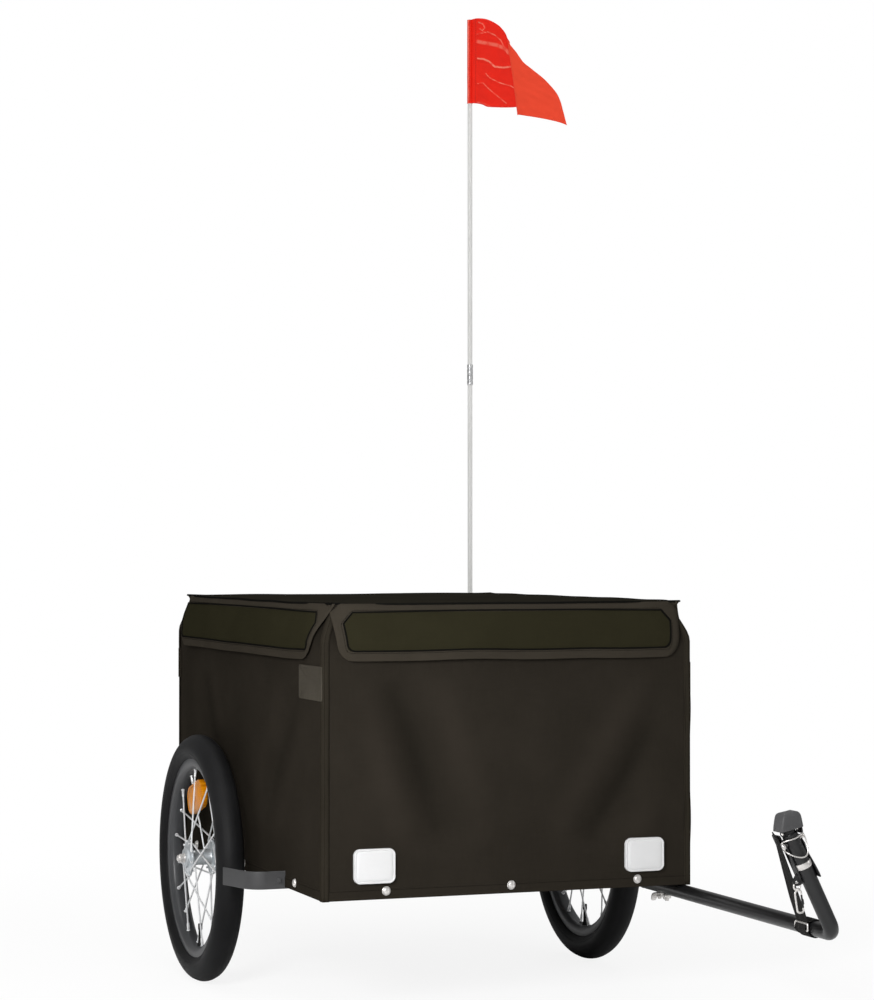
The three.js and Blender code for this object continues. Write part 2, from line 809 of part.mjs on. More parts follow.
function tyreShape() {
  const beadRadius = rimSeatRadius + 2 * seatGap;
  const overRim = rimOuterRadius + 2 * seatGap;
  const openAngle = Math.acos((overRim + seatGap - tyreMiddle) / (tyreDepth / 2));
  const outside = crownPoints(tyreMiddle, tyreDepth, tyreWidth, openAngle, 6);
  const profile = [[beadRadius, -beadOut], [overRim, -beadOut], ...outside, [overRim, beadOut],
    [beadRadius, beadOut], [beadRadius, beadIn], ...insideTyre(0).reverse(), [beadRadius, -beadIn]];
  return lathed(profile);
}

function rimShape() {
  const half = [
    [rimInnerRadius, rimFloorWidth / 2],
    [rimInnerRadius + rimSideHeight, rimWidth / 2],
    [rimOuterRadius, rimWidth / 2],
    [rimOuterRadius, flangeInside],
    [rimSeatRadius, flangeInside],
    [rimSeatRadius, rimSeatWidth / 2],
    [rimInnerRadius + rimWell, rimFloorWidth / 2 - rimWall],
  ];
  const mirrored = half.map(([radius, along]) => [radius, -along]);
  const hole = rod([0, 0, -rimInnerRadius + cutOverrun], [0, 0, -rimSeatRadius - cutOverrun],
    valveRadius + seatGap, 10);
  return cut(solidOf(lathed([...half.reverse(), ...mirrored])), hole);
}

function innerTubeShape() {
  const root = tyreMiddle - tyreDepth / 2 + tyreWall + 2 * tubeWall;
  const tip = rimInnerRadius - valveReach;
  const stem = rod([0, 0, -root], [0, 0, -tip], valveRadius, 8);
  const bore = rod([0, 0, -root - cutOverrun], [0, 0, -tip + cutOverrun], valveBoreRadius, 6);
  const skin = solidOf(lathed(insideTyre(seatGap))).add(solidOf(stem));
  return cut(skin, lathed(insideTyre(seatGap + tubeWall)), bore);
}

function hubShape() {
  const half = hubLength / 2;
  const seat = half - bearingWidth - 2 * seatGap;
  const flangeOut = (flangeSpacing + flangeThickness) / 2;
  const flangeIn = flangeOut - flangeThickness;
  const side = [
    [hubBodyRadius, flangeIn],
    [flangeRadius, flangeIn],
    [flangeRadius, flangeOut],
    [hubBarrelRadius, flangeOut],
    [hubBarrelRadius, half],
    [bearingRadius + seatGap, half],
    [bearingRadius + seatGap, seat],
    [hubBoreRadius, seat],
  ];
  const mirrored = side.map(([radius, along]) => [radius, -along]).reverse();
  return lathed([...mirrored, ...side], 14);
}

function bearingShape() {
  const half = bearingWidth / 2;
  const profile = [[bearingBoreRadius, -half], [bearingRadius, -half],
    [bearingRadius, half], [bearingBoreRadius, half]];
  return lathed(profile, 14);
}

// How far out a faceted ring reaches at an angle.
function facetRadius(radius, sides, angle) {
  const facet = (2 * Math.PI) / sides;
  const within = angle - facet * Math.floor(angle / facet) - facet / 2;
  return (radius * Math.cos(facet / 2)) / Math.cos(within);
}

// Where a spoke starts on its flange and ends at its nipple; odd ones lean the other way. It leaves the
// flange's edge with a small clearance, and the valve has its place between two spokes.
function spokeEnds(flange, i) {
  const lean = i % 2 === 0 ? 1 : -1;
  const step = (2 * Math.PI) / spokesPerFlange;
  const hubAngle = i * step + (flange > 0 ? step / 4 : -step / 4);
  const rimAngle = hubAngle + lean * 2 * step;
  const at = (angle, radius, along) => [radius * Math.sin(angle), along, radius * Math.cos(angle)];
  const rimRadius = facetRadius(rimInnerRadius, wheelSides, rimAngle) - seatGap - nippleRadius / 4;
  const holeHeight = spokeHoleRadius * Math.cos(2 * step);
  const span = Math.hypot(rimRadius - holeHeight, spokeHoleRadius * Math.sin(2 * step));
  const slant = (rimRadius * Math.cos(2 * step) - spokeHoleRadius) * (spokeHoleRadius / span);
  const travel = Math.sqrt(flangeRadius ** 2 - spokeHoleRadius ** 2 + slant ** 2) - slant;
  const share = travel / span;
  const clearOfEdge = (flangeSpacing + flangeThickness) / 2 + seatGap + spokeRadius;
  const startAlong = (clearOfEdge - spokeDish * share) / (1 - share);
  const start = at(hubAngle, spokeHoleRadius, flange * startAlong);
  const end = at(rimAngle, rimRadius, flange * spokeDish);
  return { start, end };
}

// Turns a profile about the line from one point to another, its lengths measured from the first.
function turnedAlong(profile, start, end, sides) {
  const from = new THREE.Vector3(...start);
  const along = new THREE.Vector3(...end).sub(from).normalize();
  const turn = new THREE.Quaternion().setFromUnitVectors(new THREE.Vector3(0, 1, 0), along);
  return lathed(profile, sides).applyQuaternion(turn).translate(...from);
}

function spokeSet(flange) {
  let set = null;
  for (let i = 0; i < spokesPerFlange; i += 1) {
    const { start, end } = spokeEnds(flange, i);
    const length = new THREE.Vector3(...start).distanceTo(new THREE.Vector3(...end));
    const profile = [[0, 0], [spokeRadius, 0], [spokeRadius, length - nippleLength],
      [nippleRadius, length - nippleLength], [nippleRadius, length], [0, length]];
    const spoke = solidOf(turnedAlong(profile, start, end, 4));
    set = set ? set.add(spoke) : spoke;
  }
  return set;
}

function axleShape() {
  const toRail = wheelY - railOuterY - seatGap;
  const bearingOuter = hubLength / 2;
  const innerEnd = -(toRail + seatGap + railWidth + seatGap + axleInBeam - seatGap);
  const shoulderEnd = -bearingOuter - seatGap;
  const threadStart = bearingOuter + seatGap;
  const threadEnd = threadStart + axleThreadLength;
  const profile = [
    [0, innerEnd],
    [axleRadius, innerEnd],
    [axleRadius, -toRail],
    [axleShoulderRadius, -toRail],
    [axleShoulderRadius, shoulderEnd],
    [axleRadius, shoulderEnd],
    [axleRadius, threadStart],
    [axleThreadRadius, threadStart],
    [axleThreadRadius, threadEnd],
    [0, threadEnd],
  ];
  return lathed(profile, 12);
}

function capNutShape() {
  const start = hubLength / 2 + 2 * seatGap;
  const top = start + nutHeight;
  const boreEnd = start + axleThreadLength + seatGap;
  const hex = rod([0, start, 0], [0, top, 0], nutRadius, 6);
  const dome = rod([0, top - seatGap, 0], [0, boreEnd + nutDomeHeight, 0], nutDomeRadius, 10,
    nutDomeRadius / 2);
  const bore = rod([0, start - cutOverrun, 0], [0, boreEnd, 0], axleThreadRadius + seatGap, 12);
  return cut(joined(hex, dome), bore);
}

// The amber reflector stands between the spokes by the rim and is grooved round the spokes it clips on.
function spokeReflectorShape() {
  const outline = roundedPoints(spokeReflectorLength, spokeReflectorHeight, spokeReflectorCorner);
  const ridge = roundedPoints(spokeReflectorLength - spokeReflectorCorner, spokeReflectorRidgeHeight,
    spokeReflectorRidgeHeight / 3, 1);
  const plain = extruded(outline, spokeReflectorDepth);
  const raised = extruded(ridge, spokeReflectorRidge + seatGap)
    .translate(0, 0, spokeReflectorDepth - seatGap);
  const place = rimInnerRadius - spokeReflectorHeight / 2 - 2 * nippleRadius;
  const standing = geometryOf(joined(plain, raised)).rotateX(-Math.PI / 2).rotateY(Math.PI);
  standing.translate(0, spokeReflectorOffset, place);
  const grooves = evenShares(spokesPerFlange - 1).flatMap((_, i) => {
    const { start, end } = spokeEnds(1, i);
    const length = new THREE.Vector3(...start).distanceTo(new THREE.Vector3(...end));
    const clear = 2 * seatGap;
    const neck = length - nippleLength - clear;
    const profile = [[0, 0], [spokeRadius + clear, 0], [spokeRadius + clear, neck],
      [nippleRadius + clear, neck], [nippleRadius + clear, length + cutOverrun], [0, length + cutOverrun]];
    return turnedAlong(profile, start, end, 4);
  });
  return cut(solidOf(standing), ...grooves);
}

function addWheel(sideName, side) {
  const wheel = new THREE.Group();
  wheel.position.set(axleX, side * wheelY, wheelRadius);
  wheel.rotation.z = side > 0 ? 0 : Math.PI;
  model.add(wheel);
  const bearingPlace = hubLength / 2 - bearingWidth / 2;
  addPiece(`tyre_${sideName}`, tyreShape(), finishes.tyre(), wheel);
  addPiece(`inner_tube_${sideName}`, innerTubeShape(), finishes.rubber(), wheel);
  addPiece(`rim_${sideName}`, rimShape(), finishes.rim(), wheel);
  addPiece(`spokes_outer_${sideName}`, spokeSet(1), finishes.bright(), wheel);
  addPiece(`spokes_inner_${sideName}`, spokeSet(-1), finishes.bright(), wheel);
  addPiece(`hub_${sideName}`, hubShape(), finishes.bright(), wheel);
  addPiece(`bearing_outer_${sideName}`, bearingShape(), finishes.bright(), wheel).position.y = bearingPlace;
  addPiece(`bearing_inner_${sideName}`, bearingShape(), finishes.bright(), wheel).position.y = -bearingPlace;
  addPiece(`spoke_reflector_${sideName}`, spokeReflectorShape(), finishes.amber(), wheel);
  addPiece(`axle_${sideName}`, axleShape(), finishes.bright(), wheel);
  addPiece(`axle_nut_${sideName}`, capNutShape(), finishes.bright(), wheel);
}

// Wheel guard: a flat strip on edge, from the rail out and back round the front of the tyre
function addGuard(sideName, side) {
  const rootX = guardRootX;
  const rootY = railOuterY + seatGap;
  const corner = [rootX, side * (sideFace + guardReach + guardBendRadius / 2), guardBottom + guardHeight / 2];
  const tip = [rootX - guardTipBack, side * (sideFace + guardTipReach), corner[2]];
  const route = new BentRoute([[rootX, side * rootY, corner[2]], corner, tip], guardBendRadius, 5);
  const up = new THREE.Vector3(0, 0, 1);
  const stations = route.stations.map(({ point, tangent }) => ({
    middle: point,
    across: up.clone().multiplyScalar(guardHeight / 2),
    through: tangent.clone().cross(up).multiplyScalar(guardThickness / 2),
  }));
  addPiece(`wheel_guard_${sideName}`, band(stations), finishes.blackPlastic());
}

// Drawbar, its bracket plate and its two bolts
function addDrawbar() {
  const lean = THREE.MathUtils.degToRad(uprightLean);
  const rearX = frontFace - drawbarEndBehindFront;
  const top = [bendX, drawbarY - uprightLength * Math.sin(lean),
    drawbarHeight + uprightLength * Math.cos(lean)];
  const corners = [[rearX, drawbarY, drawbarHeight], [bendX, drawbarY, drawbarHeight], top];
  const bar = bent(corners, drawbarBendRadius, drawbarRadius, { wall: drawbarWall, sides: 12, bendSteps: 5 });
  const plug = rod([rearX + drawbarRadius, drawbarY, drawbarHeight],
    [rearX - drawbarWall, drawbarY, drawbarHeight], drawbarRadius - drawbarWall / 2, 12);
  const drill = (x) => rod([x, drawbarY, drawbarHeight - drawbarRadius - cutOverrun],
    [x, drawbarY, drawbarHeight + drawbarRadius + cutOverrun], boltRadius + boltClearance, 10);
  const pinHole = rod([0, -drawbarRadius - cutOverrun, pinHeight], [0, drawbarRadius + cutOverrun, pinHeight],
    pinRadius + boltClearance, 10).rotateX(lean).translate(bendX, drawbarY, drawbarHeight);
  addPiece("drawbar", cut(joined(bar, plug), drill(pivotX), drill(guideX), pinHole), finishes.blackPaint());

  const barTop = drawbarHeight + drawbarRadius;
  const plateLow = barTop + plateGap;
  const plateHigh = plateLow + plateThickness;
  const slotRadius = guideX - pivotX;
  const plateMinX = pivotX - plateRear - platePadLength;
  const plateMaxX = guideX + plateFront + platePadLength;
  const limit = THREE.MathUtils.degToRad(swingLimit);
  const plateMinY = drawbarY - slotRadius * Math.sin(limit) - plateInner;
  const plateMaxY = railOuterY - platePadInset;
  const plate = block([plateMinX, plateMinY, plateLow], [plateMaxX, plateMaxY, plateHigh]);
  const pads = [[plateMinX, plateMinX + platePadLength], [plateMaxX - platePadLength, plateMaxX]].map(
    ([x0, x1]) => block([x0, railOuterY - railWidth + platePadInset, plateHigh - plateThickness / 2],
      [x1, plateMaxY, railBottom - seatGap]));
  const slotHalf = boltRadius + boltClearance;
  const slot = new THREE.Shape();
  slot.absarc(0, 0, slotRadius + slotHalf, -limit, 0);
  slot.absarc(slotRadius, 0, slotHalf, 0, Math.PI);
  slot.absarc(0, 0, slotRadius - slotHalf, 0, -limit, true);
  slot.absarc(slotRadius * Math.cos(limit), -slotRadius * Math.sin(limit), slotHalf, Math.PI - limit,
    2 * Math.PI - limit);
  const slotCut = extruded(slot, plateThickness + 2 * cutOverrun)
    .translate(pivotX, drawbarY, plateLow - cutOverrun);
  const pivotHole = rod([pivotX, drawbarY, plateLow - cutOverrun], [pivotX, drawbarY, plateHigh + cutOverrun],
    boltRadius + boltClearance, 10);
  addPiece("drawbar_bracket", cut(joined(plate, ...pads), slotCut, pivotHole), finishes.frameSteel());

  // Both bolts hang from the plate; the rear one is the pivot and has the wing nut.
  const barBottom = drawbarHeight - drawbarRadius - seatGap;
  const headLow = plateHigh + seatGap;
  const nutLow = barBottom - boltNutHeight;
  const bolt = (x) => [
    rod([x, drawbarY, headLow], [x, drawbarY, headLow + boltHeadHeight], boltHeadRadius, 10,
      boltHeadRadius / 2),
    rod([x, drawbarY, nutLow - boltTipLength], [x, drawbarY, headLow + boltHeadHeight / 2],
      boltRadius, 10),
  ];
  const wingBase = rod([pivotX, drawbarY, nutLow], [pivotX, drawbarY, barBottom], boltNutRadius, 10);
  const wing = block([pivotX - wingThickness / 2, drawbarY - wingSpan / 2, nutLow - wingHeight / 2],
    [pivotX + wingThickness / 2, drawbarY + wingSpan / 2, nutLow + wingHeight / 2]);
  addPiece("pivot_bolt", joined(...bolt(pivotX), wingBase, wing), finishes.bright());
  const nut = rod([guideX, drawbarY, nutLow], [guideX, drawbarY, barBottom], boltNutRadius, 6);
  addPiece("guide_bolt", joined(...bolt(guideX), nut), finishes.bright());
}

// Hitch on the drawbar's upright: Z runs up along the tube, Y across it to the left
function addHitch() {
  const hitch = new THREE.Group();
  hitch.position.set(bendX, drawbarY, drawbarHeight);
  hitch.rotation.x = THREE.MathUtils.degToRad(uprightLean);
  model.add(hitch);
  const inside = drawbarRadius + channelSideGap;
  const outside = inside + channelWall;

  const back = block([-outside, -outside, channelBottom + channelFootRadius], [-inside, outside, channelTop]);
  const cheeks = [-1, 1].map((side) => {
    const low = side > 0 ? inside : -outside;
    const high = side > 0 ? outside : -inside;
    return block([-outside, low, channelBottom], [channelFront, high, channelTop]);
  });
  const lugTop = channelBottom + lugHeight;
  const lugShape = new THREE.Shape([
    new THREE.Vector2(-inside - channelWall / 2, channelBottom),
    new THREE.Vector2(-inside - channelWall / 2, lugTop + lugHeight / 2),
    new THREE.Vector2(-outside - lugReach, lugTop - lugHeight / 2),
    new THREE.Vector2(-outside - lugReach, lugTop - lugHeight),
  ]);
  const lug = extruded(lugShape, lugThickness).rotateX(Math.PI / 2).rotateZ(Math.PI / 2);
  lug.translate(-lugThickness / 2, 0, 0);
  const lugHoleY = -outside - lugReach + lugHoleInset;
  const lugHoleZ = channelBottom + lugHoleInset;
  const lugHole = rod([-lugThickness - cutOverrun, lugHoleY, lugHoleZ],
    [lugThickness + cutOverrun, lugHoleY, lugHoleZ], lugHoleRadius, 10);
  const pinHole = rod([0, -outside - cutOverrun, pinHeight], [0, outside + cutOverrun, pinHeight],
    pinRadius + boltClearance, 10);
  const channel = cut(joined(back, ...cheeks, lug), lugHole, pinHole);
  addPiece("coupler_channel", channel, finishes.blackPaint(), hitch);

  const pinEnd = outside + pinTip;
  const collarStart = -outside - seatGap;
  const shank = rod([0, collarStart - pinCollarLength / 2, pinHeight], [0, pinEnd, pinHeight], pinRadius, 12);
  const collar = rod([0, collarStart - pinCollarLength, pinHeight], [0, collarStart, pinHeight],
    pinCollarRadius, 12);
  addPiece("hitch_pin", joined(shank, collar), finishes.bright(), hitch);

  // The bail: a wire loop from the pin's collar, round the front of the tube, to the pin's tip
  const bailRoot = collarStart - pinCollarLength / 2;
  const legTop = pinHeight + pinCollarRadius + bailWireRadius + seatGap;
  const legLow = pinHeight - pinCollarRadius - bailWireRadius - seatGap;
  const bailCorners = [
    [0, bailRoot, legTop],
    [bailFront, bailRoot, legTop],
    [bailFront, bailReach, legTop - bailSag / 3],
    [channelFront + bailSpread, bailReach, pinHeight - bailWireRadius],
    [bailFront, bailReach / 2, legLow - bailSag],
    [bailFront, bailRoot / 2, legLow - bailSag],
    [bailSpread, bailRoot, legLow],
    [0, bailRoot, legLow],
  ];
  const bail = bent(bailCorners, bailWireRadius * 3, bailWireRadius, { sides: 5, bendSteps: 2 });
  addPiece("pin_bail", bail, finishes.bright(), hitch);

  addPiece("elastomer_joint", ball([0, 0, uprightLength + jointBallLift], jointBallRadius, 12, 8),
    finishes.rubber(), hitch);

  // The axle bracket: a hood over the flexible joint, tilted on it
  const bracket = new THREE.Group();
  bracket.position.z = uprightLength + jointBallLift;
  bracket.rotation.x = -THREE.MathUtils.degToRad(bracketTilt);
  hitch.add(bracket);
  const hoodOutline = roundedPoints(bracketWidth, bracketHeight + bracketRound, bracketRound);
  const hood = extruded(hoodOutline, bracketDepth).rotateX(Math.PI / 2).rotateZ(Math.PI / 2);
  hood.translate(-bracketDepth / 2, 0, (bracketHeight - bracketRound) / 2);
  const below = block([-bracketDepth, -bracketWidth, -bracketHeight], [bracketDepth, bracketWidth, 0]);
  const cavity = block(
    [-bracketDepth / 2 + bracketWall, -bracketWidth / 2 + bracketWall, -cutOverrun],
    [bracketDepth / 2 - bracketWall, bracketWidth / 2 - bracketWall, jointBallRadius + seatGap]);
  addPiece("axle_bracket", cut(solidOf(hood), below, cavity), finishes.greyPlastic(), bracket);

  // Snap hook, hanging upright from the lug
  const snap = new THREE.Group();
  snap.position.set(0, lugHoleY, lugHoleZ);
  snap.rotation.x = -hitch.rotation.x;
  hitch.add(snap);
  const eyeRing = new THREE.TorusGeometry(hookEyeRadius, hookWireRadius, 5, 12).rotateX(Math.PI / 2)
    .translate(0, 0, -hookEyeRadius);
  const bodyTop = -2 * hookEyeRadius - hookWireRadius / 2;
  const bodyFoot = bodyTop - hookLength;
  const legY = hookWidth / 2 - hookWireRadius;
  const gateFoot = bodyFoot + gateFromFoot;
  const gateTop = gateFoot + gateLength;
  const wire = bent([
    [0, legY, gateTop + seatGap],
    [0, legY, bodyTop],
    [0, -legY, bodyTop],
    [0, -legY, bodyFoot],
    [0, legY, bodyFoot],
    [0, legY, gateFoot - seatGap],
  ], hookBend, hookWireRadius, { sides: 5, bendSteps: 3 });
  addPiece("snap_hook", joined(eyeRing, wire), finishes.bright(), snap);
  const gate = rod([0, legY, gateFoot], [0, legY, gateTop], gateRadius, 8);
  addPiece("snap_gate", gate, finishes.blackPlastic(), snap);
}

// Safety strap: from the channel's cheek, behind the pin, down to the drawbar, round it and back through
// its own wire loop
const strapEndTurnShare = 490 / 360;
const loopUpperTurnShare = 141 / 360;
const loopLowerTurnShare = 187 / 360;
const strapLeavingShare = 0.22;

function addStrap() {
  const lean = THREE.MathUtils.degToRad(uprightLean);
  const half = strapThickness / 2;
  const besideCheek = -(drawbarRadius + channelSideGap + channelWall + seatGap + half);
  const corner = new THREE.Vector3(bendX, drawbarY, drawbarHeight);
  const onCheek = (back, height) => new THREE.Vector3(-back, besideCheek, height)
    .applyAxisAngle(new THREE.Vector3(1, 0, 0), lean).add(corner);
  const wrapRadius = drawbarRadius + strapGap + half;
  const wrapX = bendX - strapLoopBehindBend;
  const around = (turnShare, radius, x = wrapX) => {
    const angle = 2 * Math.PI * turnShare;
    const y = drawbarY + radius * Math.cos(angle);
    return new THREE.Vector3(x, y, drawbarHeight + radius * Math.sin(angle));
  };
  const byPin = onCheek(strapPinBack, pinHeight);
  const across = byPin.y - drawbarY;
  const above = byPin.z - drawbarHeight;
  const toLanding = Math.atan2(above, across) + Math.acos(wrapRadius / Math.hypot(across, above));
  const landingTurn = toLanding / (2 * Math.PI);
  const landing = around(landingTurn, wrapRadius);
  const leaving = landing.clone().lerp(byPin.clone().setX(wrapX), strapLeavingShare);
  const between = byPin.clone().add(leaving).divideScalar(2);
  const turns = evenShares(10).map((share) => landingTurn + (strapEndTurnShare - landingTurn) * share);
  const route = [onCheek(strapTopBack, strapTopHeight), byPin, between, leaving,
    ...turns.map((turn) => around(turn, wrapRadius))];
  const stations = route.map((point, i) => {
    const before = route[Math.max(i - 1, 0)];
    const after = route[Math.min(i + 1, route.length - 1)];
    const tangent = after.clone().sub(before).normalize();
    const width = new THREE.Vector3(strapWidth / 2, 0, 0);
    return { middle: point, across: width, through: tangent.clone().cross(width).setLength(half) };
  });
  addPiece("safety_strap", band(stations), finishes.webbing());

  const side = strapWidth / 2 + loopWireRadius + strapGap;
  const upperRadius = drawbarRadius + strapGap + loopWireRadius;
  const leaning = 2 * Math.PI * (landingTurn - loopLowerTurnShare);
  const lowerRadius = (wrapRadius + half + strapGap + loopWireRadius) / Math.cos(leaning);
  const corners = [[loopUpperTurnShare, upperRadius, -side], [loopUpperTurnShare, upperRadius, side],
    [loopLowerTurnShare, lowerRadius, side], [loopLowerTurnShare, lowerRadius, -side]]
    .map(([turn, radius, x]) => around(turn, radius, wrapX + x).toArray());
  const wires = corners.map((point, i) => rod(point, corners[(i + 1) % corners.length], loopWireRadius, 6));
  addPiece("strap_loop", joined(...wires), finishes.bright());
}

// Flag: a socket on the rear wall, two pole sections and the folded flag
const flagTopShares = [1, 0.985, 0.9, 0.725, 0.6, 0.48, 0.35, 0.2, 0];
const flagBottomShares = [0, -0.02, -0.05, -0.05, -0.14, -0.165, -0.2, -0.23, -0.25];

function addFlag() {
  const y = poleY;
  const socketRadius = poleRadius + seatGap + socketWall;
  const wallFace = -frontFace - seatGap;
  const socketTop = poleBottom + socketLength;
  const barrel = rod([poleX, y, poleBottom - socketFloor], [poleX, y, socketTop], socketRadius, 12);
  const plate = block([wallFace - socketPlateThickness, y - socketPlateWidth / 2, poleBottom],
    [wallFace, y + socketPlateWidth / 2, socketTop - socketFloor]);
  const web = block([poleX, y - socketWall, poleBottom],
    [wallFace - socketPlateThickness / 2, y + socketWall, socketTop - socketFloor]);
  const bore = rod([poleX, y, poleBottom], [poleX, y, socketTop + cutOverrun], poleRadius + seatGap, 10);
  const screwInset = socketPlateWidth / 2 - socketScrewRadius - socketScrewHeight;
  const screwZ = poleBottom + socketLength / 3;
  const screws = [y - screwInset, y + screwInset].map((screwY) => rod(
    [wallFace - socketPlateThickness - socketScrewHeight, screwY, screwZ],
    [wallFace - socketPlateThickness / 2, screwY, screwZ], socketScrewRadius, 10));
  addPiece("flag_socket", cut(joined(barrel, plate, web, ...screws), bore), finishes.blackPlastic());

  const lower = tube([poleX, y, poleBottom + seatGap], [poleX, y, poleSplit], poleRadius, poleWall, 8);
  const ferruleBottom = poleSplit - ferruleLength / 2;
  const ferruleTop = poleSplit + ferruleLength / 2;
  const sleeve = tube([poleX, y, ferruleBottom], [poleX, y, ferruleTop], ferruleRadius,
    ferruleRadius - poleRadius - seatGap, 8);
  const collar = tube([poleX, y, ferruleBottom], [poleX, y, ferruleBottom + ferruleInsert / 2],
    ferruleRadius, ferruleRadius - poleRadius + poleWall / 2, 8);
  addPiece("flag_pole_lower", joined(lower, sleeve, collar), finishes.pole());
  const upper = tube([poleX, y, poleSplit + seatGap], [poleX, y, poleTop], poleRadius, poleWall, 8);
  addPiece("flag_pole_upper", upper, finishes.pole());

  // The flag: a sleeve round the pole and a sheet that folds over itself once
  const heading = THREE.MathUtils.degToRad(flagHeading);
  const out = new THREE.Vector3(Math.cos(heading), Math.sin(heading), 0);
  const front = new THREE.Vector3(Math.sin(heading), -Math.cos(heading), 0);
  const sleeveOuter = poleRadius + seatGap + flagSleeveWall;
  const hoistBottom = poleTop - flagHeight;
  const stretch = (flagLength - flagFoldStart) / 4;
  const foldedOut = flagFoldStart - flagFoldBack;
  const places = [[sleeveOuter - flagSleeveWall / 2, 0], [flagFoldStart / 3, 0], [(flagFoldStart * 2) / 3, 0],
    [flagFoldStart, 0], [foldedOut, flagFoldOffset], [flagFoldStart + stretch, flagFoldOffset],
    [flagFoldStart + 2 * stretch, flagFoldOffset], [flagFoldStart + 3 * stretch, flagFoldOffset / 2],
    [flagLength, 0]];
  const base = new THREE.Vector3(poleX, y, 0);
  const route = places.map(([along, ahead]) => base.clone().addScaledVector(out, along)
    .addScaledVector(front, ahead));
  const stations = route.map((point, i) => {
    const before = route[Math.max(i - 1, 0)];
    const after = route[Math.min(i + 1, route.length - 1)];
    const tangent = after.clone().sub(before).normalize();
    const high = hoistBottom + flagHeight * flagTopShares[i];
    const tipDrop = i === places.length - 1 ? flagFoldOffset : 0;
    const low = hoistBottom + flagHeight * flagBottomShares[i] - tipDrop;
    return {
      middle: point.clone().setZ((high + low) / 2),
      across: new THREE.Vector3(0, 0, (high - low) / 2),
      through: tangent.clone().cross(new THREE.Vector3(0, 0, 1)).multiplyScalar(flagThickness / 2),
    };
  });
  const hem = tube([poleX, y, hoistBottom], [poleX, y, poleTop - seatGap], sleeveOuter, flagSleeveWall, 8);
  addPiece("flag", joined(hem, band(stations)), finishes.flag());
}

addBaseFrame();
addUpperFrame();
addWalls();
addCover();
addReflectors();
for (const [sideName, side] of [["left", 1], ["right", -1]]) {
  addWheel(sideName, side);
  addGuard(sideName, side);
}
addDrawbar();
addHitch();
addStrap();
addFlag();

// Move the origin to the ground under the middle of the whole trailer.
const box = new THREE.Box3().setFromObject(model, true);
const middle = box.getCenter(new THREE.Vector3());
model.position.set(-middle.x, -middle.y, -box.min.z);

export default trailer;
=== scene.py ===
import math

import bmesh
import bpy
import numpy as np
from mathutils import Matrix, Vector, noise


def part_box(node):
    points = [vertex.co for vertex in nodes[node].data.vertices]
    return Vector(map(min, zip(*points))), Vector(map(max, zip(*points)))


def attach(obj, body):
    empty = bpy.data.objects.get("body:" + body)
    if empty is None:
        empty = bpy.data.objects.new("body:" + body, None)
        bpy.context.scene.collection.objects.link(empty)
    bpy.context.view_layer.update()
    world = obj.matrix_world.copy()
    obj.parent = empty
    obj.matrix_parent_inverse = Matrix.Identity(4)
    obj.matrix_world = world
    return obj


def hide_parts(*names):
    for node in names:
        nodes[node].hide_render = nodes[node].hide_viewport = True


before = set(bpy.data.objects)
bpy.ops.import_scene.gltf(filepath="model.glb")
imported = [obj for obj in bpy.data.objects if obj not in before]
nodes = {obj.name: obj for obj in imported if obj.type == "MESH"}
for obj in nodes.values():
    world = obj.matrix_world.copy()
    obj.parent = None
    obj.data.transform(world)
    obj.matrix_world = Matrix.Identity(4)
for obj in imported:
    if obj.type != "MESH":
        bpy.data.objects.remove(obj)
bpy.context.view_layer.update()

# Sizes in millimetres, in the trailer's own frame: X forward from the tub's middle, Y to the left, Z up.
front = 408.0
side = 296.5
hem = 188.0
wall_top = 621.7
cover_top = 624.0
flap_drop = 85.8
axle_x = -100.0
wheel_y = 342.5
wheel_z = 200.0
tyre_low, tyre_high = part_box("tyre_left")
forward = (tyre_low.x + tyre_high.x) / 2 - axle_x * 0.001
sides = (("left", 1), ("right", -1))
tub_ends = (("front", 1), ("rear", -1))

# ---------------------------------------------------------------- camera, light and floor


def linear(red, green, blue):
    """An 8-bit colour as linear RGBA."""
    shares = [c / 255 for c in (red, green, blue)]
    return tuple(c / 12.92 if c <= 0.04045 else ((c + 0.055) / 1.055) ** 2.4 for c in shares) + (1.0,)


def add_camera():
    """The camera that the picture was taken with."""
    data = bpy.data.cameras.new("photo_camera")
    data.lens = 95.04
    data.sensor_width = 36
    data.clip_end = 60
    camera = bpy.data.objects.new("photo_camera", data)
    bpy.context.scene.collection.objects.link(camera)
    heading, pitch = math.radians(20.4), math.radians(1.081)
    level = math.cos(pitch)
    look = Vector((-math.cos(heading) * level, math.sin(heading) * level, math.sin(pitch)))
    camera.location = (3.8617, -1.488, 0.7025)
    camera.rotation_euler = look.to_track_quat("-Z", "Y").to_euler()
    bpy.context.scene.camera = camera


def add_lamp(name, place, size, power, aim=(-0.1, 0.0, 0.4), glossy=True):
    data = bpy.data.lights.new(name, "AREA")
    data.shape = "RECTANGLE"
    data.size, data.size_y = size
    data.energy = power
    lamp = bpy.data.objects.new(name, data)
    lamp.location = place
    lamp.rotation_euler = (Vector(aim) - Vector(place)).to_track_quat("-Z", "Y").to_euler()
    lamp.visible_camera = False
    lamp.visible_glossy = glossy
    bpy.context.scene.collection.objects.link(lamp)


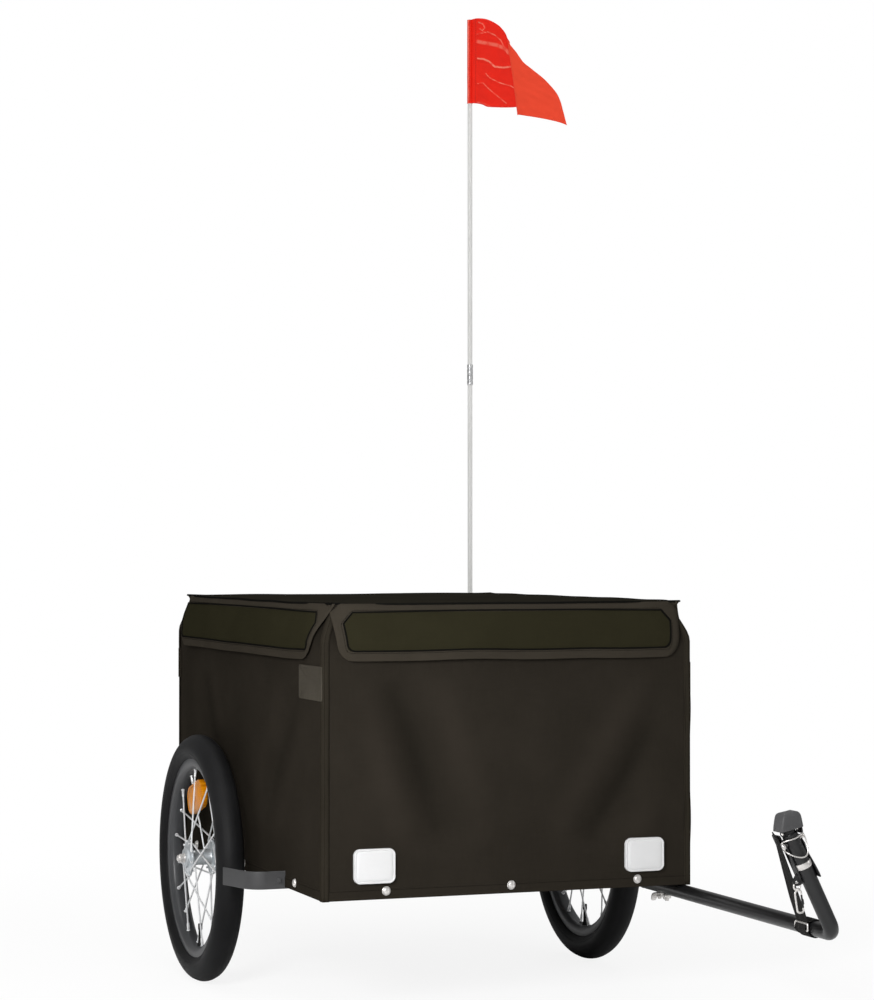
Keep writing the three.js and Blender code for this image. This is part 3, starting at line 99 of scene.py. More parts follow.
class Graph:
    """Adds nodes to one node tree and links their sockets."""

    def __init__(self, tree):
        self.tree = tree

    def add(self, kind, sockets=None, **settings):
        made = self.tree.nodes.new(kind)
        for key, value in settings.items():
            setattr(made, key, value)
        for key, value in (sockets or {}).items():
            if isinstance(value, bpy.types.NodeSocket):
                self.tree.links.new(value, made.inputs[key])
            else:
                made.inputs[key].default_value = value
        return made

    def math(self, operation, first, second=0.0, third=0.0, clamp=False):
        sockets = {0: first, 1: second, 2: third}
        return self.add("ShaderNodeMath", sockets, operation=operation, use_clamp=clamp).outputs[0]

    def mix(self, share, first, second):
        sockets = {0: share, 6: first, 7: second}
        return self.add("ShaderNodeMix", sockets, data_type="RGBA").outputs[2]

    def band(self, value, low, high):
        """Rises from 0 to 1 as the value goes from low to high."""
        sockets = {"Value": value, "From Min": low, "From Max": high}
        return self.add("ShaderNodeMapRange", sockets, interpolation_type="SMOOTHSTEP").outputs[0]

    def cloud(self, vector, scale, detail=3.0, rough=0.55):
        sockets = {"Vector": vector, "Scale": scale, "Detail": detail, "Roughness": rough}
        return self.add("ShaderNodeTexNoise", sockets).outputs["Fac"]

    def stretch(self, vector, scale):
        return self.add("ShaderNodeMapping", {"Vector": vector, "Scale": scale}).outputs[0]

    def split(self, vector):
        return self.add("ShaderNodeSeparateXYZ", {0: vector}).outputs

    def position(self):
        return self.add("ShaderNodeNewGeometry").outputs["Position"]

    def product(self, *factors):
        """The product of a socket and further sockets or numbers."""
        made = factors[0]
        for factor in factors[1:]:
            made = self.math("MULTIPLY", made, factor)
        return made

    def without(self, value):
        """What is left of 1."""
        return self.math("SUBTRACT", 1.0, value)

    def give(self, outputs, **values):
        for key, value in values.items():
            self.tree.links.new(value, outputs[key])


def group(name, inputs, outputs):
    tree = bpy.data.node_groups.new(name, "ShaderNodeTree")
    kinds = {"c": "NodeSocketColor", "f": "NodeSocketFloat", "v": "NodeSocketVector"}
    for label, kind, value in inputs:
        socket = tree.interface.new_socket(label, in_out="INPUT", socket_type=kinds[kind])
        if value is not None:
            socket.default_value = value
    for label, kind in outputs:
        tree.interface.new_socket(label, in_out="OUTPUT", socket_type=kinds[kind])
    graph = Graph(tree)
    return graph, graph.add("NodeGroupInput").outputs, graph.add("NodeGroupOutput").inputs


def woven_cloth_group():
    """Plain weave from a place in metres along and across the cloth."""
    g, given, out = group("woven cloth", [
        ("Place", "v", None), ("Threads per metre", "f", 1400.0), ("Thread", "c", None),
        ("Thread light", "c", None), ("Contrast", "f", 0.5), ("Fade", "f", 0.3)],
        [("Color", "c"), ("Roughness", "f"), ("Height", "f")])
    split = g.split(given["Place"])
    turns = g.product(given["Threads per metre"], math.pi)
    waves = [g.math("SINE", g.product(split[i], turns)) for i in (0, 1)]
    weave = g.math("MULTIPLY_ADD", g.product(*waves), 0.5, 0.5)
    slubs = [g.cloud(g.stretch(given["Place"], scale), 1.0, 2.0) for scale in ((900, 25, 1), (25, 900, 1))]
    uneven = g.math("ADD", slubs[0], slubs[1])
    height = g.math("MULTIPLY_ADD", uneven, 0.35, g.product(weave, 0.65))
    lit = g.product(g.band(height, 0.35, 1.0), given["Contrast"])
    broad = g.cloud(given["Place"], 7.0, 4.0)
    woven = g.mix(lit, given["Thread"], given["Thread light"])
    faded = g.mix(g.product(g.band(broad, 0.35, 0.75), given["Fade"]), woven, given["Thread light"])
    g.give(out, Color=faded, Roughness=g.math("MULTIPLY_ADD", uneven, 0.14, 0.72), Height=height)
    return g.tree


def grain_group():
    """Fine grain with slow changes of tone, for moulded, painted and rubber surfaces."""
    g, given, out = group("fine grain", [
        ("Color", "c", None), ("Tint", "c", None), ("Scale", "f", 900.0), ("Amount", "f", 0.3),
        ("Roughness", "f", 0.5), ("Spread", "f", 0.1)],
        [("Color", "c"), ("Roughness", "f"), ("Height", "f")])
    place = g.position()
    fine = g.cloud(place, given["Scale"], 4.0, 0.6)
    slow = g.cloud(place, g.product(given["Scale"], 0.02), 3.0)
    tone = g.math("MULTIPLY", g.math("ADD", g.product(fine, 0.5), g.band(slow, 0.3, 0.75)),
                  given["Amount"], clamp=True)
    swing = g.product(g.math("SUBTRACT", slow, 0.5), given["Spread"])
    speckle = g.product(g.math("SUBTRACT", fine, 0.5), g.product(given["Spread"], 0.6))
    rough = g.math("ADD", given["Roughness"], g.math("ADD", swing, speckle), clamp=True)
    g.give(out, Color=g.mix(tone, given["Color"], given["Tint"]), Roughness=rough, Height=fine)
    return g.tree


def edge_wear_group():
    """Lighter, rubbed edges, broken up by a cloudy pattern."""
    g, given, out = group("edge wear", [
        ("Color", "c", None), ("Worn", "c", None), ("Amount", "f", 0.5), ("Width", "f", 0.001)],
        [("Color", "c"), ("Mask", "f")])
    plain = g.add("ShaderNodeNewGeometry").outputs
    soft = g.add("ShaderNodeBevel", {"Radius": given["Width"]}, samples=4).outputs[0]
    turn = g.add("ShaderNodeVectorMath", {0: soft, 1: plain["Normal"]}, operation="DOT_PRODUCT")
    edge = g.band(g.without(turn.outputs["Value"]), 0.02, 0.16)
    broken = g.band(g.cloud(plain["Position"], 160.0, 5.0, 0.65), 0.42, 0.66)
    mask = g.math("MULTIPLY", g.product(edge, broken), given["Amount"], clamp=True)
    g.give(out, Color=g.mix(mask, given["Color"], given["Worn"]), Mask=mask)
    return g.tree


def stitch_group():
    """A row of thread stitches: a mask and the thread's height, from metres along and across the row."""
    g, given, out = group("stitch row", [
        ("Along", "f", 0.0), ("Across", "f", 0.0), ("Place", "f", 0.0), ("Pitch", "f", 0.004),
        ("Width", "f", 0.0008)], [("Mask", "f"), ("Height", "f")])
    phase = g.math("FRACT", g.math("DIVIDE", given["Along"], given["Pitch"]))
    from_middle = g.math("ABSOLUTE", g.math("SUBTRACT", phase, 0.5))
    on_stitch = g.without(g.band(from_middle, 0.32, 0.42))
    off_row = g.math("ABSOLUTE", g.math("SUBTRACT", given["Across"], given["Place"]))
    half = g.product(given["Width"], 0.5)
    on_row = g.without(g.band(off_row, g.product(half, 0.6), half))
    mask = g.product(on_stitch, on_row)
    pulled = g.without(g.band(off_row, half, g.product(given["Width"], 1.6)))
    g.give(out, Mask=mask, Height=g.math("SUBTRACT", mask, g.product(pulled, 0.5)))
    return g.tree


def lens_group():
    """Rows of small prisms behind a smooth lens, from metres along and across it."""
    g, given, out = group("lens prisms", [
        ("Place", "v", None), ("Cell", "f", 0.0026), ("Color", "c", None), ("Deep", "c", None)],
        [("Color", "c"), ("Height", "f")])
    split = g.split(given["Place"])
    steps = [g.math("PINGPONG", split[i], g.product(given["Cell"], 0.5)) for i in (0, 1)]
    shares = [g.math("DIVIDE", step, given["Cell"]) for step in steps]
    height = g.math("MINIMUM", shares[0], shares[1])
    uneven = g.cloud(given["Place"], 60.0, 2.0)
    tone = g.math("ADD", g.band(height, 0.0, 0.3), g.product(uneven, 0.5), clamp=True)
    g.give(out, Color=g.mix(tone, given["Deep"], given["Color"]), Height=height)
    return g.tree


def metal_group():
    """Plated or drawn metal: faint spangles, thin scratches and a dull bloom."""
    g, given, out = group("plated metal", [
        ("Color", "c", None), ("Dull", "c", None), ("Scale", "f", 300.0), ("Amount", "f", 0.5),
        ("Roughness", "f", 0.3)], [("Color", "c"), ("Roughness", "f"), ("Height", "f")])
    place = g.position()
    cells = g.add("ShaderNodeTexVoronoi", {"Vector": place, "Scale": given["Scale"]})
    spangle = g.add("ShaderNodeSeparateColor", {0: cells.outputs["Color"]}).outputs[0]
    scratch = g.cloud(g.stretch(place, (2400, 260, 500)), 1.0, 3.0, 0.7)
    bloom = g.cloud(place, 45.0, 4.0)
    tone = g.math("MULTIPLY", g.math("ADD", g.product(spangle, 0.45), g.band(bloom, 0.4, 0.8)),
                  given["Amount"], clamp=True)
    rough = g.math("ADD", given["Roughness"], g.product(g.math("SUBTRACT", tone, 0.3), 0.25))
    rough = g.math("ADD", rough, g.product(scratch, 0.06), clamp=True)
    height = g.math("ADD", scratch, g.product(spangle, 0.3))
    g.give(out, Color=g.mix(tone, given["Color"], given["Dull"]), Roughness=rough, Height=height)
    return g.tree


woven_cloth = woven_cloth_group()
fine_grain = grain_group()
edge_wear = edge_wear_group()
stitch_row = stitch_group()
lens_prisms = lens_group()
plated_metal = metal_group()


class Finish(Graph):
    """One material: a Principled shader, with its coloured parts fed by the shared groups."""

    def __init__(self, name, **constants):
        self.material = bpy.data.materials.new(name)
        self.material.use_nodes = True
        super().__init__(self.material.node_tree)
        self.tree.nodes.clear()
        sockets = {key.replace("_", " "): value for key, value in constants.items()}
        self.shader = self.add("ShaderNodeBsdfPrincipled", sockets)
        output = self.add("ShaderNodeOutputMaterial")
        self.tree.links.new(self.shader.outputs[0], output.inputs["Surface"])

    def use(self, tree, sockets):
        return self.add("ShaderNodeGroup", sockets, node_tree=tree).outputs

    def weave(self, place, thread, light, contrast, fade, threads):
        return self.use(woven_cloth, {
            "Place": place, "Threads per metre": threads, "Thread": linear(*thread),
            "Thread light": linear(*light), "Contrast": contrast, "Fade": fade})

    def grain(self, color, tint, scale, amount, rough, spread):
        return self.use(fine_grain, {"Color": color, "Tint": linear(*tint), "Scale": scale,
                                     "Amount": amount, "Roughness": rough, "Spread": spread})

    def rubbed(self, color, worn, amount, width):
        return self.use(edge_wear, {"Color": color, "Worn": linear(*worn), "Amount": amount,
                                    "Width": width})["Color"]

    def stitches(self, along, across, place):
        return self.use(stitch_row, {"Along": along, "Across": across, "Place": place})

    def place(self, layer="place"):
        return self.add("ShaderNodeUVMap", uv_map=layer).outputs[0]

    def paint(self, color, roughness):
        self.give(self.shader.inputs, **{"Base Color": color, "Roughness": roughness})

    def raise_by(self, height, distance, strength):
        bump = self.add("ShaderNodeBump", {"Height": height, "Distance": distance, "Strength": strength})
        self.tree.links.new(bump.outputs[0], self.shader.inputs["Normal"])


def cloth_finish(name, thread, light, contrast=0.5, fade=0.25, threads=1300.0, rows=(), painted_fold_light=False):
    """Cloth with rows of stitches, each at a place in metres across, and where asked, painted shade in its
    fold valleys and under the cover's corners and painted light on its fold brows.
    """
    f = Finish(name, Specular_IOR_Level=0.0)
    place = f.place()
    cloth = f.weave(place, thread, light, contrast, fade, threads)
    color, height = cloth["Color"], f.product(cloth["Height"], 0.25)
    split = f.split(place)
    for row in rows:
        stitch = f.stitches(split[0], split[1], row)
        color = f.mix(stitch["Mask"], color, linear(*[c * 0.55 for c in thread]))
        height = f.math("ADD", height, stitch["Height"])
    if painted_fold_light:
        fold = f.split(f.place("edge"))
        # painted shade (dark tone) in the fold valleys and under the cover's corners, painted light (pale
        # tone) on the fold brows
        for share, tone in zip(fold, ((16, 15, 12), (72, 65, 58))):
            color = f.mix(f.product(share, 0.3), color, linear(*tone))
    f.paint(color, cloth["Roughness"])
    f.raise_by(height, 0.0004, 0.8)
    return f.material


def cover_finish():
    """Cover cloth: olive panels inside the piping and a lighter binding round the edge."""
    f = Finish("cover_cloth", Specular_IOR_Level=0.0)
    place = f.place()
    edge = f.split(f.place("edge"))
    panel = f.weave(place, (37, 35, 24), (50, 48, 34), 0.4, 0.3, 1300.0)
    binding = f.weave(place, (48, 44, 38), (66, 61, 53), 0.5, 0.3, 1000.0)
    top = f.band(edge[0], 0.0385, 0.0395)
    inside = f.band(edge[0], 0.0142, 0.0148)
    stitch = f.stitches(edge[1], edge[0], 0.0118)
    color = f.mix(inside, binding["Color"], panel["Color"])
    color = f.mix(stitch["Mask"], color, linear(24, 23, 19))
    # painted shade: the top gets a darker tone than the flaps, spread by a cloud
    color = f.mix(top, color, f.mix(f.cloud(place, 9.0), linear(29, 27, 23), linear(42, 40, 34)))
    step = f.product(f.without(inside), 0.8)
    height = f.math("ADD", f.product(panel["Height"], 0.25), f.math("ADD", step, stitch["Height"]))
    f.paint(color, panel["Roughness"])
    f.raise_by(height, 0.0005, 0.8)
    return f.material


def moulded_finish(name, color, tint, scale=900.0, amount=0.35, rough=0.5, spread=0.15, bump=0.00005,
                   worn=None, wear=0.5, **constants):
    """Plastic, rubber or paint: fine grain, and rubbed edges where a worn colour is given."""
    f = Finish(name, **constants)
    grain = f.grain(linear(*color), tint, scale, amount, rough, spread)
    tone = f.rubbed(grain["Color"], worn, wear, 0.0009) if worn else grain["Color"]
    f.paint(tone, grain["Roughness"])
    f.raise_by(grain["Height"], bump, 0.7)
    return f.material


def metal_finish(name, color, dull, scale=300.0, amount=0.5, rough=0.3, bump=0.00003, worn=None, metal=1.0):
    """Plated metal, with rubbed edges where a worn colour is given."""
    f = Finish(name, Metallic=metal)
    plated = f.use(plated_metal, {"Color": linear(*color), "Dull": linear(*dull), "Scale": scale,
                                  "Amount": amount, "Roughness": rough})
    tone = f.rubbed(plated["Color"], worn, 0.5, 0.0006) if worn else plated["Color"]
    f.paint(tone, plated["Roughness"])
    f.raise_by(plated["Height"], bump, 0.6)
    return f.material


def lens_finish(name, color, deep, cell=0.0026, coat=0.5, prism=0.3, **constants):
    """A clear or coloured lens over prisms."""
    f = Finish(name, Coat_Weight=coat, Coat_Roughness=0.06, **constants)
    lens = f.use(lens_prisms, {"Place": f.place(), "Cell": cell, "Color": linear(*color),
                               "Deep": linear(*deep)})
    grain = f.grain(lens["Color"], deep, 500.0, 0.12, 0.22, 0.1)
    f.paint(grain["Color"], grain["Roughness"])
    f.raise_by(lens["Height"], 0.0006, prism)
    return f.material


def webbing_finish():
    """Ribbed webbing with a stitched seam along both edges."""
    f = Finish("strap_webbing", Specular_IOR_Level=0.05)
    place = f.place()
    cloth = f.weave(f.stretch(place, (1.0, 0.45, 1.0)), (20, 20, 20), (62, 61, 60), 0.55, 0.3, 900.0)
    split = f.split(place)
    stitch = f.stitches(split[1], f.math("ABSOLUTE", split[0]), 0.0118)
    f.paint(f.mix(stitch["Mask"], cloth["Color"], linear(84, 83, 81)), cloth["Roughness"])
    f.raise_by(f.math("ADD", cloth["Height"], stitch["Height"]), 0.0004, 0.9)
    return f.material


def flag_finish():
    """Glossy coated cloth: painted highlights along long creases next to the hoist and down the sleeve's lit
    side, smoother and more orange at the fly.
    """
    f = Finish("flag_vinyl", Specular_IOR_Level=0.12, Coat_Weight=0.12, Coat_Roughness=0.2)
    place = f.place()
    split = f.split(place)
    cloth = f.weave(place, (230, 34, 20), (244, 48, 30), 0.3, 0.5, 900.0)
    fly = f.band(split[0], 0.118, 0.121)
    crease = f.split(f.place("edge"))
    folds = f.cloud(f.stretch(place, (0.5, 1.0, 1.0)), 30.0, 2.0)
    ridge = f.without(f.band(crease[0], 0.35, 1.3))
    broken = f.math("MULTIPLY_ADD", f.band(f.cloud(place, 60.0, 2.0), 0.36, 0.56), 0.6, 0.4)
    shine = f.product(ridge, broken, crease[1])
    stitch = f.stitches(split[1], split[0], 0.0105)
    tone = f.mix(fly, cloth["Color"], linear(234, 72, 46))
    # painted highlight: pale pink along the creases, broken up by a cloud
    tone = f.mix(f.product(shine, 0.85), tone, linear(248, 150, 126))
    f.paint(f.mix(stitch["Mask"], tone, linear(150, 22, 14)), f.math("MULTIPLY_ADD", folds, 0.2, 0.3))
    f.raise_by(f.math("ADD", f.product(folds, 4.0), stitch["Height"]), 0.0006, 0.6)
    return f.material


def tyre_finish():
    """Rubber with fine ribs round the tread, and a fine grain in its tone and dullness."""
    f = Finish("tyre_rubber", Specular_IOR_Level=0.12)
    across = f.split(f.place())[1]
    grain = f.grain(linear(19, 19, 20), (40, 40, 41), 500.0, 0.35, 0.55, 0.25)
    ribs = f.math("SINE", f.product(across, 2 * math.pi / 0.0021))
    f.paint(grain["Color"], grain["Roughness"])
    f.raise_by(f.math("ADD", grain["Height"], f.product(ribs, 0.35)), 0.00012, 0.6)
    return f.material


def board_finish():
    """Dark coated board with a wire-mesh grip pattern."""
    f = Finish("floor_board", Specular_IOR_Level=0.3)
    place = f.position()
    diagonal = f.add("ShaderNodeMapping", {"Vector": place, "Rotation": (0, 0, math.pi / 4)}).outputs[0]
    mesh = f.use(lens_prisms, {"Place": diagonal, "Cell": 0.004, "Color": linear(62, 54, 46),
                               "Deep": linear(40, 35, 30)})
    grain = f.grain(mesh["Color"], (78, 70, 60), 250.0, 0.3, 0.55, 0.2)
    f.paint(grain["Color"], grain["Roughness"])
    f.raise_by(mesh["Height"], 0.0006, 0.6)
    return f.material


finish = {
    "wall": cloth_finish("wall_cloth", (35, 32, 27), (54, 49, 43), rows=(0.0135,), painted_fold_light=True),
    "seam": cloth_finish("seam_tape", (36, 33, 27), (58, 53, 46), threads=900.0, rows=(0.0022, 0.0088)),
    "tab": cloth_finish("tab_loop_pile", (52, 49, 43), (84, 79, 71), contrast=0.7, fade=0.4, threads=600.0),
    "cover": cover_finish(),
    "piping": cloth_finish("cover_piping", (12, 12, 11), (30, 29, 26), threads=900.0),
    "steel": moulded_finish("frame_steel", (30, 31, 33), (46, 47, 49), 500.0, 0.3, 0.42, 0.2,
                            worn=(120, 120, 118), Specular_IOR_Level=0.4),
    "board": board_finish(),
    "tyre": tyre_finish(),
    "tube": moulded_finish("tube_rubber", (20, 20, 20), (36, 36, 36), 700.0, 0.3, 0.6,
                           Specular_IOR_Level=0.15),
    "rim": moulded_finish("rim_black", (52, 53, 55), (82, 83, 85), 400.0, 0.4, 0.38, 0.15,
                          worn=(150, 150, 150), wear=0.35, Specular_IOR_Level=0.4),
    "spoke": metal_finish("spoke_steel", (236, 237, 238), (214, 215, 216), 500.0, 0.3, 0.42, metal=0.45),
    "hub": metal_finish("hub_steel", (214, 219, 222), (158, 164, 168), 260.0, 0.6, 0.36, 0.00006, metal=0.75),
    "bolt": metal_finish("bolt_steel", (232, 229, 226), (188, 184, 180), 400.0, 0.35, 0.34,
                         worn=(244, 243, 241), metal=0.7),
    "paint": moulded_finish("bar_paint", (19, 19, 20), (34, 34, 35), 420.0, 0.35, 0.32, 0.15, 0.00002,
                            worn=(92, 92, 92), wear=0.3, Specular_IOR_Level=0.5),
    "guard": moulded_finish("guard_plastic", (62, 62, 63), (76, 76, 77), 1100.0, 0.35, 0.5, 0.15, 0.00006,
                            worn=(104, 104, 104), Specular_IOR_Level=0.35),
    "plug": moulded_finish("plug_plastic", (24, 24, 25), (40, 40, 41), 1000.0, 0.35, 0.55,
                           Specular_IOR_Level=0.35),
    "hood": moulded_finish("hitch_grey", (74, 74, 75), (88, 88, 89), 1300.0, 0.35, 0.52, 0.12, 0.00006,
                           worn=(112, 112, 112), wear=0.35, Specular_IOR_Level=0.25),
    "joint": moulded_finish("joint_rubber", (20, 20, 21), (34, 34, 35), 600.0, 0.3, 0.4, 0.2, 0.00008,
                            Specular_IOR_Level=0.3),
    "clear": lens_finish("lens_clear", (226, 226, 226), (214, 214, 215), 0.0018, prism=0.12),
    "red": lens_finish("lens_red", (206, 12, 8), (130, 4, 4), coat=0.25, Specular_IOR_Level=0.2),
    "amber": lens_finish("lens_amber", (228, 146, 6), (176, 92, 0), 0.0036, 0.2, Specular_IOR_Level=0.15),
    "strap": webbing_finish(),
    "pole": moulded_finish("pole_white", (224, 224, 222), (206, 206, 203), 600.0, 0.3, 0.4, 0.15, 0.00002,
                           Specular_IOR_Level=0.3),
    "ferrule": metal_finish("ferrule_steel", (222, 223, 224), (176, 176, 176), 500.0, 0.4, 0.36),
    "flag": flag_finish(),
}


def add_stage():
    """A wide, pale floor that fades to white, lamps, and a white world."""
    scene = bpy.context.scene
    scene.view_settings.view_transform = "Standard"
    world = bpy.data.worlds.new("white_room")
    world.use_nodes = True
    scene.world = world
    g = Graph(world.node_tree)
    world.node_tree.nodes.clear()
    seen = g.add("ShaderNodeLightPath").outputs["Is Camera Ray"]
    soft, white = (g.add("ShaderNodeBackground", {"Color": (1, 1, 1, 1), "Strength": strength}).outputs[0]
                   for strength in (0.34, 1.0))
    shown = g.add("ShaderNodeMixShader", {0: seen, 1: soft, 2: white}).outputs[0]
    g.add("ShaderNodeOutputWorld", {0: shown})

    mesh = bpy.data.meshes.new("studio_floor")
    radius, corners = 40, 64
    turns = [i * math.pi / (corners // 2) for i in range(corners)]
    rim = [(radius * math.cos(turn), radius * math.sin(turn), 0) for turn in turns]
    mesh.from_pydata(rim, [], [tuple(range(corners))])
    floor = bpy.data.objects.new("studio_floor", mesh)
    scene.collection.objects.link(floor)
    material = bpy.data.materials.new("studio_floor")
    material.use_nodes = True
    g = Graph(material.node_tree)
    material.node_tree.nodes.clear()
    place = g.position()
    away = g.add("ShaderNodeVectorMath", {0: place}, operation="LENGTH").outputs["Value"]
    seen = g.add("ShaderNodeLightPath").outputs["Is Camera Ray"]
    share = g.product(seen, g.math("MULTIPLY_ADD", g.band(away, 0.7, 2.2), 0.13, 0.87))
    tone = g.mix(g.cloud(place, 3.0), (0.86, 0.86, 0.86, 1), (0.9, 0.9, 0.9, 1))
    cloth = g.add("ShaderNodeBsdfDiffuse", {"Color": tone, "Roughness": 0.6}).outputs[0]
    glow = g.add("ShaderNodeEmission", {"Color": (1, 1, 1, 1), "Strength": 1.0}).outputs[0]
    shown = g.add("ShaderNodeMixShader", {0: share, 1: cloth, 2: glow}).outputs[0]
    g.add("ShaderNodeOutputMaterial", {0: shown})
    mesh.materials.append(material)

    add_lamp("near_lamp", (1.5, -1.25, 1.0), (0.45, 0.45), 29, aim=(0.15, -0.2, 0.3))
    add_lamp("far_lamp", (2.2, 3.1, 1.9), (1.2, 1.2), 12)
    add_lamp("rear_lamp", (-2.9, 1.5, 1.5), (1.4, 1.4), 40, glossy=False)
    add_lamp("side_lamp", (-0.6, 2.9, 1.3), (1.2, 1.2), 16, glossy=False)
    add_lamp("top_lamp", (0.2, -0.6, 3.6), (2.4, 2.4), 36)


# ---------------------------------------------------------------- mesh tools, in millimetres


def circle(radius, steps=20):
    turns = np.linspace(0, 2 * math.pi, steps, endpoint=False)
    return np.stack([radius * np.cos(turns), radius * np.sin(turns)], 1)


def rounded(width, height, radius, steps=5):
    """A rounded rectangle, anticlockwise."""
    points = []
    for cx, cy, start in ((1, 1, 0), (-1, 1, 90), (-1, -1, 180), (1, -1, 270)):
        for i in range(steps + 1):
            turn = math.radians(start + 90 * i / steps)
            points.append((cx * (width / 2 - radius) + radius * math.cos(turn),
                           cy * (height / 2 - radius) + radius * math.sin(turn)))
    return np.array(points)


def lengths(points):
    """Distance along a line of points, in metres."""
    steps = np.linalg.norm(np.diff(points, axis=0), axis=1)
    return np.concatenate([[0], np.cumsum(steps)]) * 0.001


def grid(across, along):
    """Cloth places from the distances across and along."""
    return np.stack(np.meshgrid(across, along), -1)


def smooth(knots, steps=6):
    """A smooth line through the knots."""
    k = np.asarray(knots, float)
    k = np.concatenate([[2 * k[0] - k[1]], k, [2 * k[-1] - k[-2]]])
    line = []
    for a, b, c, d in zip(k[:-3], k[1:-2], k[2:-1], k[3:]):
        for i in range(steps):
            t = i / steps
            line.append(0.5 * (2 * b + (c - a) * t + (2 * a - 5 * b + 4 * c - d) * t ** 2
                               + (3 * b - a - 3 * c + d) * t ** 3))
    return np.array(line + [k[-2]])


def bends(corners, radius, steps=8, closed=False):
    """A line with its corners turned into arcs."""
    c = [np.asarray(p, float) for p in corners]
    count = len(c)
    line = [] if closed else [c[0]]
    for i in range(0 if closed else 1, count if closed else count - 1):
        before, here, after = c[i - 1], c[i], c[(i + 1) % count]
        a, b = before - here, after - here
        la, lb = np.linalg.norm(a), np.linalg.norm(b)
        a, b = a / la, b / lb
        half = math.acos(max(-1, min(1, float(a @ b)))) / 2
        reach = min(radius / math.tan(half), la * 0.49, lb * 0.49)
        r = reach * math.tan(half)
        middle = (a + b) / np.linalg.norm(a + b)
        centre = here + middle * r / math.sin(half)
        start, end = here + a * reach - centre, here + b * reach - centre
        total = math.pi - 2 * half
        for s in range(steps + 1):
            t = s / steps
            spread = start * math.sin((1 - t) * total) + end * math.sin(t * total)
            line.append(centre + spread / math.sin(total))
    return np.array(line + ([line[0]] if closed else [c[-1]]))


def swept(path, section, start=(0, 0, 1), ends=True, scale=None, closed=False):
    """A section carried along a path, with its first axis towards start or towards each point's own start."""
    path = np.asarray(path, float)
    tangent = np.gradient(path, axis=0)
    if closed:
        tangent[0] = tangent[-1] = path[1] - path[-2]
    tangent /= np.linalg.norm(tangent, axis=1)[:, None]
    towards = np.broadcast_to(np.asarray(start, float), path.shape)
    fixed = np.ndim(start) == 2
    normal = towards[0]
    section = np.vstack([section, section[:1]])
    scale = np.ones(len(path)) if scale is None else np.asarray(scale, float)
    rows = []
    for point, t, s, aim in zip(path, tangent, scale, towards):
        normal = aim if fixed else normal
        normal = normal - t * (normal @ t)
        normal = normal / np.linalg.norm(normal)
        other = np.cross(t, normal)
        rows.append(point + (section[:, :1] * normal + section[:, 1:] * other) * s)
    rows = np.array(rows)
    around, along = lengths(section), lengths(path)
    uv = grid(around - around[-1] / 2, along)
    if ends and not closed:
        caps = [np.repeat(rows[i].mean(0)[None], rows.shape[1], 0)[None] for i in (0, -1)]
        rows = np.concatenate([caps[0], rows, caps[1]])
        uv = np.concatenate([uv[:1], uv, uv[-1:]])
    return rows, uv


def turned(profile, steps=64, closed=False):
    """A profile of (radius, along Y) turned about the Y axis."""
    profile = np.array(list(profile) + ([profile[0]] if closed else []), float)
    turns = np.linspace(0, 2 * math.pi, steps + 1)
    radius, along = profile[:, :1], profile[:, 1:]
    rows = np.stack([radius * np.sin(turns), along + 0 * turns, radius * np.cos(turns)], -1)
    reach = float(profile[:, 0].max()) * 0.001
    return rows, grid(turns * reach, lengths(profile))


def mirrored(half, shared=0):
    """A profile and its mirror image across the wheel's middle plane, with shared points at both ends."""
    return half + [(radius, -along) for radius, along in reversed(half[shared:len(half) - shared])]


def hexagon(radius, steps):
    """The outline of a nut, with points along its sides."""
    corners = [(radius * math.cos(t), radius * math.sin(t)) for t in np.radians(np.arange(0, 360, 60))]
    return np.concatenate([np.linspace(corners[i], corners[(i + 1) % 6], steps)[:-1] for i in range(6)])


def layered(outline, levels):
    """A closed outline stacked at levels of (inset, height) along Z, and closed at both ends."""
    before, after = np.roll(outline, 1, 0), np.roll(outline, -1, 0)
    along = after - before
    outwards = np.stack([along[:, 1], -along[:, 0]], 1) / np.linalg.norm(along, axis=1)[:, None]
    middle = outline.mean(0)
    reach = np.linalg.norm(outline - middle, axis=1).min()
    rows = []
    for inset, height in levels:
        near = min(inset, 3.0)  # evenly at first, and then towards the middle
        ring = outline - outwards * near
        ring = middle + (ring - middle) * (reach - inset) / (reach - near)
        rows.append(np.column_stack([ring, np.full(len(ring), float(height))]))
    for at, height in ((0, levels[0][1]), (len(rows) + 1, levels[-1][1])):
        rows.insert(at, np.tile((middle[0], middle[1], float(height)), (len(outline), 1)))
    rows = np.array([np.vstack([row, row[:1]]) for row in rows])
    return rows, rows[:, :, :2] * 0.001


def pierced(outline, hole, radius, thickness):
    """A plate round a hole, with its outline given as a shape that can be seen whole from the hole."""
    turns = np.arctan2(outline[:, 1] - hole[1], outline[:, 0] - hole[0])
    ring = np.stack([hole[0] + radius * np.cos(turns), hole[1] + radius * np.sin(turns)], 1)
    half = thickness / 2
    rows = []
    for line, height in ((outline, -half), (outline, half), (ring, half), (ring, -half), (outline, -half)):
        row = np.column_stack([line, np.full(len(line), height)])
        rows.append(np.vstack([row, row[:1]]))
    rows = np.array(rows)
    return rows, rows[:, :, :2] * 0.001


def soft_edges(height, radius, steps=3):
    """Levels of a block with both its edges rounded."""
    arc = [(radius * (1 - math.sin(t)), radius * (1 - math.cos(t)))
           for t in np.linspace(0, math.pi / 2, steps + 1)]
    return arc + [(inset, height - z) for inset, z in reversed(arc)]


def moved(patch, matrix=None, shift=(0, 0, 0)):
    """A patch turned by a matrix and then shifted."""
    places = patch[0]
    if matrix is not None:
        places = places @ np.asarray(matrix, float).T
    return (places + np.asarray(shift, float),) + tuple(patch[1:])


def about(axis, degrees):
    """A turn about X, Y or Z as a 3×3 matrix."""
    c, s = math.cos(math.radians(degrees)), math.sin(math.radians(degrees))
    return np.array({"x": [[1, 0, 0], [0, c, -s], [0, s, c]], "y": [[c, 0, s], [0, 1, 0], [-s, 0, c]],
                     "z": [[c, -s, 0], [s, c, 0], [0, 0, 1]]}[axis])


